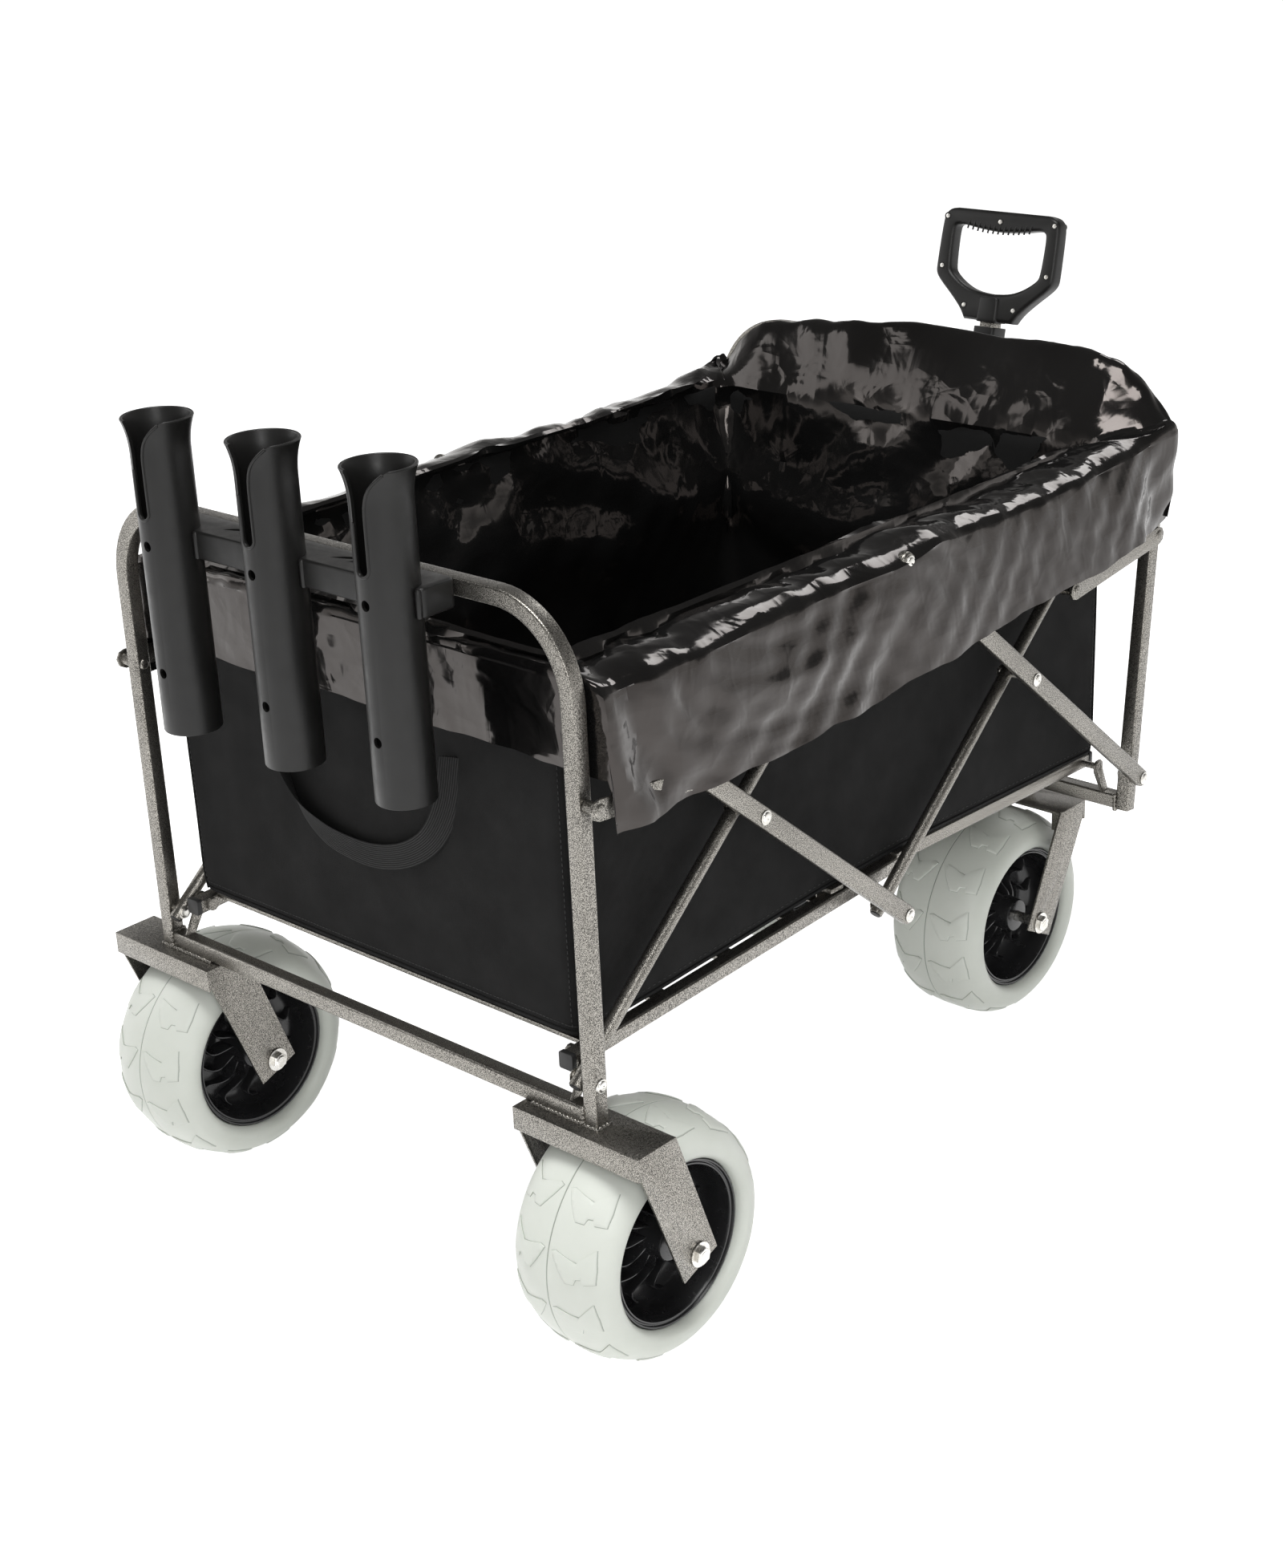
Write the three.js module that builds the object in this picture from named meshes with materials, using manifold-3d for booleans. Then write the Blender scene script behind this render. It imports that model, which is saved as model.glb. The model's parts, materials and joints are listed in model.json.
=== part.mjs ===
// Folding beach and fishing trolley: two welded end frames joined by a double scissor on each side, a base
// in two hinged halves, fixed rear wheels, swivelling front wheels, a telescoping pull handle, three rod
// holders, a cloth tub and a film liner. Millimetres, +Z up, +Y towards the pull handle, +X to the right.
import * as THREE from "three";
import { mergeVertices } from "three/addons/utils/BufferGeometryUtils.js";
import Module from "manifold-3d";

const wasm = await Module();
wasm.setup();

// Driving dimensions

const frameTube = 17; // square tube of both end frames
const tubeWall = 1.4;
const legSpacing = 614; // leg centre to leg centre
const frameRise = 80.5; // of the hoops above the scissor's top joints
const legFoot = 262;
const frameBend = 82; // centre line radius of the upper corners
const frontLeanDeg = 5.7; // the front frame leans away from the load

const armLength = 293.2; // pivot to pivot, half of a full scissor bar
const restAngleDeg = 39.88; // of the bars above level, open
const footPivotRise = 42; // of the bars' lower pivots above the legs' feet
const shortArm = 113; // from a crossing to the end that carries a link
const roundBar = 14;
const flatBarDepth = 20;
const flatBarThick = 11;
const barOverhang = 11;
const barGap = 1.6; // between a bar and the leg beside it
const linkThick = 3;
const linkWidth = 20;
const rearLinkHeight = 578; // pivot of a link on its leg
const frontLinkHeight = 584;

const pinRadius = 3.8;
const headRadius = 7.2;
const headHeight = 2.6;
const sleeveRadius = 6.4;
const seat = 0.3; // between touching pieces
const overrun = 2; // of a cutter past the face that it cuts

const baseRail = 16;
const baseInset = 20.5; // from a leg's inner face to the rear half's rails
const basePivotIn = 20; // from a leg's lower pivot to the base's hinge
const basePivotRise = 9; // of the base's hinges above the bars' lower pivots
const baseCrown = 15; // the middle stands above the hinges
const baseLap = 66; // each half runs this far past the middle
const slatWidth = 20;
const slatThick = 4.5;
const basePlay = 0.7;
const tabThick = 2.4;
const baseBoltRadius = 3.9;

const tyreRadius = 125;
const tyreHalfWidth = 61;
const tyreShoulder = 30; // how far the tread falls away at the side wall
const rimRadius = 84;
const hubRim = 4.5;
const axleRadius = 6;
const hubHalfWidth = 50;
const hubDish = 44; // depth of the dish below the rim's lip
const wheelInset = 6; // from a leg's centre to a rear wheel's
const rearAxleY = 53;
const casterTrail = 73; // from a swivel back to its axle
const casterInset = 142; // from a leg's centre to a swivel
const forkHalfLength = 78;
const forkPlate = 3;
const forkSkirt = 24;
const forkWidth = 52;
const forkPlateWidth = 50;
const forkTrail = 28; // from the axle to the plate's trailing edge
const forkBeyond = 12; // from the axle to the plate's end
const casterDrop = 11; // of a caster below the front cross bar
const kingpinRadius = 5;

const handlePivotAhead = 51; // in front of the front cross bar
const handlePivotHeight = 286;
const handleLeanDeg = 13.5;
const handleTube = 25;
const handleInner = 20;
const collarSize = 30;
const collarHeight = 26;
const shaftLength = 481;
const gripNeck = 10; // of the inner tube between the collar and the grip
const insertion = 380; // of the inner tube inside the outer one
const gripThick = 21;
const gripHalfWidth = 84;
const gripHeight = 129;

const holderBore = 25;
const holderWall = 3.2;
const holderMouth = 33;
const holderSpacing = 150;
const holderBehind = 57; // holder axis behind the rear legs
const holderRise = 108.5; // of the mouths above the hoops
const holderLength = 306;
const holderHole = 5;
const slotFoot = 13; // of the reel slot's foot above the bracket
const upperHoleDrop = 12; // below the bracket's top
const lowerHoleRise = 62; // above the holder's lower end
const bracketEnd = 34; // from the last holder's axis to the bracket's end
const bracketDepth = 43;
const bracketWall = 3;
const bracketHeight = 27;
const bracketRise = 1.5; // of the bracket above the hoop

const tubInset = 24.5; // from a leg's inner face to the tub's side
const tubRear = 18;
const tubFrontGap = 16; // from the bars' front pivots back to the tub
const tubRise = 8; // of the tub's rim above the top joints
const clothThick = 3;
const floorGap = 2.4; // between the base's end bars and the cloth over them
const floorFlat = 70; // half the length of the level stretch over the base's lap
const filmThick = 1.6;
const filmGap = 1;
const strapWidth = 30;
const strapThick = 2.4;

// Worked out from them

const deg = Math.PI / 180;
const lowPivotHeight = legFoot + footPivotRise;
const basePivotHeight = lowPivotHeight + basePivotRise;
const legX = legSpacing / 2;
const legIn = legX - frameTube / 2;
const legOut = legX + frameTube / 2;
const restAngle = restAngleDeg * deg;
const frontLean = Math.tan(frontLeanDeg * deg);
const reach = armLength * Math.cos(restAngle);
const rise = armLength * Math.sin(restAngle);
const span = 4 * reach;
const crossHeight = lowPivotHeight + rise;
const topPivotHeight = lowPivotHeight + 2 * rise;
const innerX = legIn - barGap - roundBar / 2;
const outerX = legOut + barGap + flatBarThick / 2;
const frontLegY = (z) => span + frontLean * (z - lowPivotHeight);
const holeRadius = pinRadius + seat;
const crossBarZ = legFoot + frameTube / 2;
const frontBarY = frontLegY(crossBarZ);
const frameTop = topPivotHeight + frameRise;
const baseRailOut = legIn - baseInset;
const frontAxleY = frontBarY - casterTrail;
const rearWheelX = legX - wheelInset;
const casterX = legX - casterInset;
const forkTop = legFoot;
const casterTop = legFoot - casterDrop;
const holderTop = frameTop + holderRise;
const holderBottom = holderTop - holderLength;
const bracketHalf = holderSpacing + bracketEnd;
const bracketTop = frameTop + bracketRise;
const tubHalfWidth = legIn - tubInset;
const tubFront = span - tubFrontGap;
const tubTop = topPivotHeight + tubRise;
const tubFloorEnd = basePivotHeight + baseRail;
const tubFloorMiddle = basePivotHeight + baseCrown + baseRail / 2 + slatThick + seat + floorGap;

const finish = {
  steel: new THREE.MeshStandardMaterial({ color: 0x77716b, roughness: 0.45, metalness: 0.8 }),
  zinc: new THREE.MeshStandardMaterial({ color: 0xb9bbbd, roughness: 0.3, metalness: 1 }),
  plastic: new THREE.MeshStandardMaterial({ color: 0x1c1c1d, roughness: 0.55 }),
  tyre: new THREE.MeshStandardMaterial({ color: 0xc9d0c8, roughness: 0.6 }),
  cloth: new THREE.MeshStandardMaterial({ color: 0x141414, roughness: 0.95 }),
  film: new THREE.MeshStandardMaterial({ color: 0x0d0c0c, roughness: 0.18 }),
};

const trolley = new THREE.Group();

// Solids

const mergeShare = 1e-4;

function solid(geometry) {
  const bare = geometry.index ? geometry.toNonIndexed() : geometry.clone();
  bare.deleteAttribute("normal");
  bare.deleteAttribute("uv");
  const merged = mergeVertices(bare, mergeShare);
  return new wasm.Manifold(
    new wasm.Mesh({
      numProp: 3,
      vertProperties: new Float32Array(merged.attributes.position.array),
      triVerts: new Uint32Array(merged.index.array),
    }),
  );
}

function geometryOf(made) {
  const mesh = made.getMesh();
  const geometry = new THREE.BufferGeometry();
  const places = new Float32Array(mesh.numVert * 3);
  for (let i = 0; i < mesh.numVert; i++) {
    places.set(mesh.vertProperties.subarray(i * mesh.numProp, i * mesh.numProp + 3), i * 3);
  }
  geometry.setAttribute("position", new THREE.BufferAttribute(places, 3));
  geometry.setIndex(new THREE.BufferAttribute(mesh.triVerts, 1));
  const facets = geometry.toNonIndexed();
  facets.computeVertexNormals();
  return facets;
}

const joined = (...pieces) => pieces.reduce((a, b) => a.add(b));
const without = (piece, ...cutters) => cutters.reduce((a, b) => a.subtract(b), piece);

function addNode(name, shape, material) {
  const geometry = shape instanceof THREE.BufferGeometry ? shape : geometryOf(shape);
  const mesh = new THREE.Mesh(geometry, material);
  mesh.name = name;
  trolley.add(mesh);
  return mesh;
}

// Local x, y and z laid along Y, Z and X, so that an outline drawn in (y, z) is pulled along X.
const sideways = new THREE.Matrix4().makeBasis(
  new THREE.Vector3(0, 1, 0),
  new THREE.Vector3(0, 0, 1),
  new THREE.Vector3(1, 0, 0),
);

function outline(points) {
  return new THREE.Shape(points.map(([a, b]) => new THREE.Vector2(a, b)));
}

function box(x0, x1, y0, y1, z0, z1) {
  const made = new THREE.BoxGeometry(x1 - x0, y1 - y0, z1 - z0);
  made.translate((x0 + x1) / 2, (y0 + y1) / 2, (z0 + z1) / 2);
  return solid(made);
}

// A plate with its outline in (y, z), from x0 to x1.
function sidePlate(shape, x0, x1) {
  const made = new THREE.ExtrudeGeometry(shape, { depth: x1 - x0, bevelEnabled: false });
  made.applyMatrix4(sideways);
  made.translate(x0, 0, 0);
  return solid(made);
}

// A turned piece on an axis along X through (y, z); its profile is a list of [x, radius].
function turnedOnX(profile, y, z, sides) {
  const points = profile.map(([x, r]) => new THREE.Vector2(r, x));
  const made = new THREE.LatheGeometry(points, sides);
  made.applyMatrix4(
    new THREE.Matrix4().makeBasis(
      new THREE.Vector3(0, 0, 1),
      new THREE.Vector3(1, 0, 0),
      new THREE.Vector3(0, 1, 0),
    ),
  );
  made.translate(0, y, z);
  return solid(made);
}

const boreSides = 10;

function roundOnX(x0, x1, radius, y, z, sides = boreSides) {
  return turnedOnX([[x0, 0], [x0, radius], [x1, radius], [x1, 0]], y, z, sides);
}

// A turned piece on an upright axis; its profile is a list of [radius, z].
function turnedOnZ(profile, x, y, sides) {
  const points = profile.map(([r, z]) => new THREE.Vector2(r, z));
  const made = new THREE.LatheGeometry(points, sides);
  made.rotateX(Math.PI / 2);
  made.translate(x, y, 0);
  return solid(made);
}

function rounded(width, height, radius, steps = 1) {
  const points = [];
  const corners = [[1, 1, 0], [-1, 1, 1], [-1, -1, 2], [1, -1, 3]];
  for (const [sx, sy, quarter] of corners) {
    for (let i = 0; i <= steps; i++) {
      const angle = (quarter + i / steps) * (Math.PI / 2);
      points.push([
        sx * (width / 2 - radius) + radius * Math.cos(angle),
        sy * (height / 2 - radius) + radius * Math.sin(angle),
      ]);
    }
  }
  return points;
}

function hollowed(shape, points) {
  shape.holes.push(new THREE.Path(points.map(([a, b]) => new THREE.Vector2(a, b))));
  return shape;
}

const cornerShare = 0.1; // of a square tube's width

function tubeSection(width, height, wall) {
  const corner = cornerShare * Math.min(width, height);
  const bore = [[-1, -1], [1, -1], [1, 1], [-1, 1]].map(([a, b]) => [
    a * (width / 2 - wall),
    b * (height / 2 - wall),
  ]);
  return hollowed(outline(rounded(width, height, corner)), bore);
}

function ovalSection(width, height, wall) {
  const steps = 4;
  return hollowed(
    outline(rounded(width, height, width / 2 - wall / 4, steps)),
    rounded(width - 2 * wall, height - 2 * wall, width / 2 - wall - wall / 4, steps),
  );
}

function roundSection(radius, wall, sides = 12) {
  const ring = (r) =>
    Array.from({ length: sides }, (_, i) => {
      const angle = (2 * Math.PI * i) / sides;
      return [r * Math.cos(angle), r * Math.sin(angle)];
    });
  return hollowed(outline(ring(radius)), ring(radius - wall));
}

// A path with a section at each of its points and nowhere else.
class StationPath extends THREE.Curve {
  constructor(stations) {
    super();
    this.stations = stations;
  }
  getUtoTmapping(u) {
    return u;
  }
  getPoint(t, target = new THREE.Vector3()) {
    const last = this.stations.length - 1;
    const at = Math.min(last, t * last);
    const i = Math.min(last - 1, Math.floor(at));
    return target.copy(this.stations[i]).lerp(this.stations[i + 1], at - i);
  }
  getTangent(t, target = new THREE.Vector3()) {
    const last = this.stations.length - 1;
    const i = Math.round(t * last);
    const before = this.stations[Math.max(0, i - 1)];
    const after = this.stations[Math.min(last, i + 1)];
    return target.copy(after).sub(before).normalize();
  }
}

function swept(section, stations) {
  return solid(
    new THREE.ExtrudeGeometry(section, {
      steps: stations.length - 1,
      bevelEnabled: false,
      extrudePath: new StationPath(stations),
    }),
  );
}

// A straight bar in a plane x = constant, from (y, z) at the given angle above +Y. The section's first axis lies
// along X and its second across the bar.
function bar(section, x, y, z, angle, from, to) {
  const made = new THREE.ExtrudeGeometry(section, { depth: to - from, bevelEnabled: false });
  const along = new THREE.Vector3(0, Math.cos(angle), Math.sin(angle));
  const lateral = new THREE.Vector3(1, 0, 0);
  const across = new THREE.Vector3().crossVectors(along, lateral);
  made.translate(0, 0, from);
  made.applyMatrix4(new THREE.Matrix4().makeBasis(lateral, across, along));
  made.translate(x, y, z);
  return solid(made);
}

const mirrored = (made) => made.mirror([1, 0, 0]);

// The same piece for the right side and, mirrored, for the left one.
function addPair(name, made, material) {
  addNode(name + "_right", made, material);
  addNode(name + "_left", mirrored(made), material);
}

// End frames

function frameStations(footZ) {
  const stations = [];
  const steps = 6;
  const half = legX - frameBend;
  const centreZ = frameTop - frameTube / 2 - frameBend;
  stations.push(new THREE.Vector3(-legX, 0, footZ));
  for (const side of [-1, 1]) {
    for (let i = 0; i <= steps; i++) {
      const turn = ((side < 0 ? i : steps - i) / steps) * (Math.PI / 2);
      stations.push(
        new THREE.Vector3(
          side * (half + frameBend * Math.cos(turn)),
          0,
          centreZ + frameBend * Math.sin(turn),
        ),
      );
    }
  }
  stations.push(new THREE.Vector3(legX, 0, footZ));
  return stations;
}

const bothSides = (makeCutter) => [makeCutter(), mirrored(makeCutter())];

function legHole(y, z) {
  return roundOnX(legIn - overrun, legOut + overrun, holeRadius, y, z);
}

const frameSection = () => tubeSection(frameTube, frameTube, tubeWall);

const rearFrame = without(
  swept(frameSection(), frameStations(legFoot + seat)),
  ...bothSides(() => legHole(0, lowPivotHeight)),
  ...bothSides(() => legHole(0, rearLinkHeight)),
);
addNode("rear_u_frame", rearFrame, finish.steel);

// The front frame is the same hoop, sheared to its lean, with its feet cut level.
const sheared = frameStations(legFoot).map((p) => p.clone().setY(frontLegY(p.z)));
const frontFrame = without(
  swept(frameSection(), sheared),
  box(-legSpacing, legSpacing, 0, 2 * span, 0, legFoot + seat),
  ...bothSides(() => legHole(frontLegY(lowPivotHeight), lowPivotHeight)),
  ...bothSides(() => legHole(frontLegY(frontLinkHeight), frontLinkHeight)),
);
addNode("front_u_frame", frontFrame, finish.steel);

// Cross bars, with the tabs that carry the base's hinges

const railX = baseRailOut - baseRail / 2;
const innerRailX = railX - baseRail - 2;
const tabX = baseRailOut + basePlay;

function hingeTab(barY, pivotY, toFront) {
  const side = toFront ? 1 : -1;
  const foot = legFoot + frameTube - seat;
  const round = baseRail / 2;
  const points = [
    [barY - (side * frameTube) / 4, foot],
    [pivotY - side * round, basePivotHeight - round / 2],
    [pivotY - side * round, basePivotHeight + round / 2],
    [pivotY - (side * round) / 2, basePivotHeight + round],
    [pivotY + (side * round) / 2, basePivotHeight + round],
    [pivotY + side * round, basePivotHeight + round / 2],
    [pivotY + side * round, basePivotHeight - round / 2],
    [barY + (side * frameTube) / 2, foot],
  ];
  return without(
    sidePlate(outline(toFront ? points : points.reverse()), tabX, tabX + tabThick),
    roundOnX(tabX - overrun, tabX + tabThick + overrun, baseBoltRadius + seat, pivotY, basePivotHeight),
  );
}

function crossBar(y, pivotY, toFront) {
  const hollow = new THREE.ExtrudeGeometry(frameSection(), {
    depth: 2 * (legIn - seat),
    bevelEnabled: false,
  });
  hollow.translate(0, 0, -(legIn - seat));
  hollow.applyMatrix4(sideways);
  hollow.translate(0, y, crossBarZ + seat);
  const tab = hingeTab(y, pivotY, toFront);
  return joined(solid(hollow), tab, mirrored(tab));
}

const rearPivotY = basePivotIn;
const frontPivotY = span - basePivotIn;
addNode("rear_crossbar", crossBar(0, rearPivotY, true), finish.steel);

// Two ears in front of the front cross bar hold the pull handle; two bushes under it hold the kingpins.
const earThick = 4;
const earGap = 1.5;
const earX = handleTube / 2 + earGap;
const handlePivotY = frontBarY + handlePivotAhead;
const earRound = 14;
const earFoot = frontBarY + frameTube / 2 - seat;
const ear = without(
  sidePlate(
    outline([
      [earFoot, legFoot + seat],
      [handlePivotY + earRound / 2, handlePivotHeight - earRound],
      [handlePivotY + earRound, handlePivotHeight - earRound / 2],
      [handlePivotY + earRound, handlePivotHeight + earRound / 2],
      [handlePivotY + earRound / 2, handlePivotHeight + earRound],
      [handlePivotY - earRound / 2, handlePivotHeight + earRound],
      [earFoot, legFoot + frameTube],
    ]),
    earX,
    earX + earThick,
  ),
  roundOnX(earX - overrun, earX + earThick + overrun, pinRadius + seat, handlePivotY, handlePivotHeight),
);
const kingpinHole = turnedOnZ(
  [
    [0, casterTop - forkSkirt],
    [kingpinRadius + seat, casterTop - forkSkirt],
    [kingpinRadius + seat, legFoot + frameTube + overrun],
    [0, legFoot + frameTube + overrun],
  ],
  casterX,
  frontBarY,
  boreSides,
);
const frontBar = without(
  joined(crossBar(frontBarY, frontPivotY, false), ear, mirrored(ear)),
  kingpinHole,
  mirrored(kingpinHole),
);
addNode("front_crossbar", frontBar, finish.steel);

// Scissor bars. A: rear foot to top joint. B: rear link to middle joint. C: middle joint to front link.
// D: top joint to front foot. A and C are round and run inside the legs, B and D are flat and run outside.

const barWall = 1.5;

function barHole(y, z) {
  return roundOnX(innerX - roundBar, outerX + roundBar, holeRadius, y, z);
}

function scissorBar(flat, y, z, angle, from, to, holes) {
  const section = flat
    ? ovalSection(flatBarThick, flatBarDepth, barWall)
    : roundSection(roundBar / 2, barWall);
  const made = bar(section, flat ? outerX : innerX, y, z, angle, from, to);
  return without(made, ...holes.map(([hy, hz]) => barHole(hy, hz)));
}

const rearFoot = [0, lowPivotHeight];
const rearCross = [reach, crossHeight];
const topJoint = [2 * reach, topPivotHeight];
const middleJoint = [2 * reach, lowPivotHeight];
const frontCross = [3 * reach, crossHeight];
const frontFoot = [span, lowPivotHeight];
const down = -restAngle;

addPair(
  "scissor_bar_a",
  scissorBar(false, ...rearFoot, restAngle, -barOverhang, 2 * armLength + barOverhang, [
    rearFoot,
    rearCross,
    topJoint,
  ]),
  finish.steel,
);
addPair(
  "scissor_bar_b",
  scissorBar(true, ...rearCross, down, -shortArm - barOverhang, armLength + barOverhang, [
    rearCross,
    middleJoint,
  ]),
  finish.steel,
);
addPair(
  "scissor_bar_c",
  scissorBar(false, ...middleJoint, restAngle, -barOverhang, armLength + shortArm + barOverhang, [
    middleJoint,
    frontCross,
  ]),
  finish.steel,
);
addPair(
  "scissor_bar_d",
  scissorBar(true, ...topJoint, down, -barOverhang, 2 * armLength + barOverhang, [
    topJoint,
    frontCross,
    frontFoot,
  ]),
  finish.steel,
);

// Pins: a shaft with a domed head outside, a formed end inside and, between bars, a sleeve.

const domeSteps = 2;

function domedHead(x, radius, height, side) {
  const points = [];
  for (let i = 0; i <= domeSteps; i++) {
    const turn = (i / domeSteps) * (Math.PI / 2);
    points.push([x + side * height * Math.sin(turn), radius * Math.cos(turn)]);
  }
  points[domeSteps][1] = 0;
  return points;
}

// From the inner face of one layer to the outer face of the other, with the sleeve between them.
function pin(inner, sleeveFrom, sleeveTo, outer, y, z) {
  const profile = [
    ...domedHead(inner - seat, headRadius * innerHeadShare, headHeight * innerHeadShare, -1).reverse(),
    [inner - seat, pinRadius],
  ];
  if (sleeveTo > sleeveFrom) {
    profile.push([sleeveFrom + seat, pinRadius], [sleeveFrom + seat, sleeveRadius]);
    profile.push([sleeveTo - seat, sleeveRadius], [sleeveTo - seat, pinRadius]);
  }
  profile.push([outer + seat, pinRadius], ...domedHead(outer + seat, headRadius, headHeight, 1));
  return turnedOnX(profile, y, z, boreSides);
}

const innerHeadShare = 0.8;
const innerIn = innerX - roundBar / 2;
const innerOut = innerX + roundBar / 2;
const outerIn = outerX - flatBarThick / 2;
const outerOut = outerX + flatBarThick / 2;

const jointPin = ([y, z]) => pin(innerIn, innerOut, outerIn, outerOut, y, z);
addPair("rear_foot_pin", pin(innerIn, 0, 0, legOut, ...rearFoot), finish.zinc);
addPair("rear_cross_pin", jointPin(rearCross), finish.zinc);
addPair("top_joint_pin", jointPin(topJoint), finish.zinc);
addPair("middle_joint_pin", jointPin(middleJoint), finish.zinc);
addPair("front_cross_pin", jointPin(frontCross), finish.zinc);
addPair("front_foot_pin", pin(legIn, 0, 0, outerOut, ...frontFoot), finish.zinc);

// Links between a leg and the short end of a bar. Each carries its own rivets; the joint at the bar is open.

function link(x, legPoint, barPoint, sleeve, barSpacer) {
  const [y0, z0] = legPoint;
  const [y1, z1] = barPoint;
  const length = Math.hypot(y1 - y0, z1 - z0);
  const angle = Math.atan2(z1 - z0, y1 - y0);
  const r = linkWidth / 2;
  const steps = 4;
  const points = [];
  for (const [end, turn] of [[0, Math.PI / 2], [length, -Math.PI / 2]]) {
    for (let i = 0; i <= steps; i++) {
      const a = turn + (i / steps) * Math.PI;
      points.push([end + r * Math.cos(a), r * Math.sin(a)]);
    }
  }
  const turned = points.map(([a, b]) => [
    y0 + a * Math.cos(angle) - b * Math.sin(angle),
    z0 + a * Math.sin(angle) + b * Math.cos(angle),
  ]);
  const outer = x + linkThick;
  const headFrom = outer - seat;
  const legRivet = turnedOnX(
    [
      ...domedHead(legIn - seat, headRadius * innerHeadShare, headHeight * innerHeadShare, -1).reverse(),
      [legIn - seat, pinRadius],
      [legOut + seat, pinRadius],
      [legOut + seat, sleeve ? sleeveRadius : pinRadius],
      [x + seat, sleeve ? sleeveRadius : pinRadius],
      [x + seat, headRadius],
      ...domedHead(headFrom, headRadius, headHeight, 1),
    ],
    y0,
    z0,
    boreSides,
  );
  const barRivet = turnedOnX(
    [
      [x + seat - barSpacer, 0],
      [x + seat - barSpacer, sleeveRadius],
      [x + seat, sleeveRadius],
      [x + seat, headRadius],
      ...domedHead(headFrom, headRadius, headHeight, 1),
    ],
    y1,
    z1,
    boreSides,
  );
  return joined(sidePlate(outline(turned), x, outer), legRivet, barRivet);
}

const rearShortEnd = [
  reach - shortArm * Math.cos(restAngle),
  crossHeight + shortArm * Math.sin(restAngle),
];
const frontShortEnd = [span - rearShortEnd[0], rearShortEnd[1]];
const linkPlay = 0.6;
const rearLinkX = outerOut + linkPlay;
const frontLinkX = legOut + linkPlay;
const frontLegPoint = [frontLegY(frontLinkHeight), frontLinkHeight];
addPair("rear_link", link(rearLinkX, [0, rearLinkHeight], rearShortEnd, true, 0), finish.steel);
addPair(
  "front_link",
  link(frontLinkX, frontLegPoint, frontShortEnd, false, frontLinkX - innerOut - linkPlay),
  finish.steel,
);

// Base: two halves that lap past the middle. The rear half's rails run outside the front half's.

const halfReach = span / 2 - basePivotIn;
const baseAngle = Math.atan2(baseCrown, halfReach);
const baseLength = Math.hypot(halfReach, baseCrown);
const railTail = 13;
const slatShares = [0.045, 0.27, 0.5, 0.73];

function baseHalf(x, toFront) {
  const angle = toFront ? baseAngle : Math.PI - baseAngle;
  const pivotY = toFront ? rearPivotY : frontPivotY;
  const flip = toFront ? 1 : -1;
  const length = baseLength + baseLap;
  const rail = bar(tubeSection(baseRail, baseRail, tubeWall), x, pivotY, basePivotHeight, angle, -railTail, length);
  const flat = (s, from, to, half) => {
    const shape = outline([[half, -slatWidth / 2], [half, slatWidth / 2], [-half, slatWidth / 2], [-half, -slatWidth / 2]]);
    const made = new THREE.ExtrudeGeometry(shape, { depth: to - from, bevelEnabled: false });
    made.translate(0, s * flip, from);
    made.rotateX(flip * baseAngle);
    made.translate(0, pivotY, basePivotHeight);
    return solid(made);
  };
  const top = baseRail / 2;
  const slats = slatShares.map((share) =>
    flat(share * baseLength, top - slatThick, top - seat, x - baseRail / 2 + tubeWall / 2),
  );
  const endAt = length - slatWidth / 2;
  const endBar = flat(endAt, top + seat, top + seat + slatThick, railX + baseRail / 2);
  const foot = (side) => {
    const made = new THREE.BoxGeometry(baseRail / 2, slatWidth / 2, 2 * tubeWall);
    made.translate(side * x, endAt * flip, top);
    made.rotateX(flip * baseAngle);
    made.translate(0, pivotY, basePivotHeight);
    return solid(made);
  };
  const boltFrom = toFront ? x - baseRail / 2 : x - baseRail / 2;
  const bolt = turnedOnX(
    [
      [boltFrom - slatThick, 0],
      [boltFrom - slatThick, headRadius],
      [boltFrom, headRadius],
      [boltFrom, baseBoltRadius],
      [tabX + tabThick - seat, baseBoltRadius],
      [tabX + tabThick - seat, 0],
    ],
    pivotY,
    basePivotHeight,
    boreSides,
  );
  return joined(rail, mirrored(rail), bolt, mirrored(bolt), foot(1), foot(-1), endBar, ...slats);
}

addNode("base_rear_half", baseHalf(railX, true), finish.steel);
addNode("base_front_half", baseHalf(innerRailX, false), finish.steel);

// Wheels

const tyreSides = 28;
const axleHole = axleRadius + seat;

function tyreProfile() {
  const points = [];
  const steps = 8;
  const beadHalf = hubHalfWidth;
  for (let i = 0; i <= steps; i++) {
    const u = -1 + (2 * i) / steps;
    const fall = tyreShoulder * (1 - Math.sqrt(1 - Math.abs(u) ** roundness));
    points.push([u * tyreHalfWidth, tyreRadius - fall]);
  }
  points.push([beadHalf, rimRadius + seat], [-beadHalf, rimRadius + seat]);
  points.push(points[0].slice());
  return points;
}

const roundness = 2.4;

function hubProfile() {
  const lip = rimRadius;
  const w = hubHalfWidth;
  const dished = w - hubDish;
  const boss = axleRadius * 3.2;
  return [
    [w, lip],
    [w, lip - hubRim],
    [dished, lip - 2 * hubRim],
    [dished, boss + hubRim],
    [w - hubRim, boss],
    [w - hubRim, axleHole],
    [hubRim - w, axleHole],
    [hubRim - w, boss],
    [-dished, boss + hubRim],
    [-dished, lip - 2 * hubRim],
    [-w, lip - hubRim],
    [-w, lip],
    [w, lip],
  ];
}

function onAxle(profile, x, y) {
  return turnedOnX(profile.map(([u, r]) => [x + u, r]), y, tyreRadius, tyreSides);
}

const nutRadius = 9;
const nutHeight = 6;

function axleBolt(x, y) {
  const plate = forkHalfLength + seat;
  return turnedOnX(
    [
      [x - plate - nutHeight, 0],
      [x - plate - nutHeight, nutRadius],
      [x - plate, nutRadius],
      [x - plate, axleRadius],
      [x + plate, axleRadius],
      [x + plate, nutRadius],
      [x + plate + nutHeight, nutRadius],
      [x + plate + nutHeight, 0],
    ],
    y,
    tyreRadius,
    boreSides,
  );
}

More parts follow.
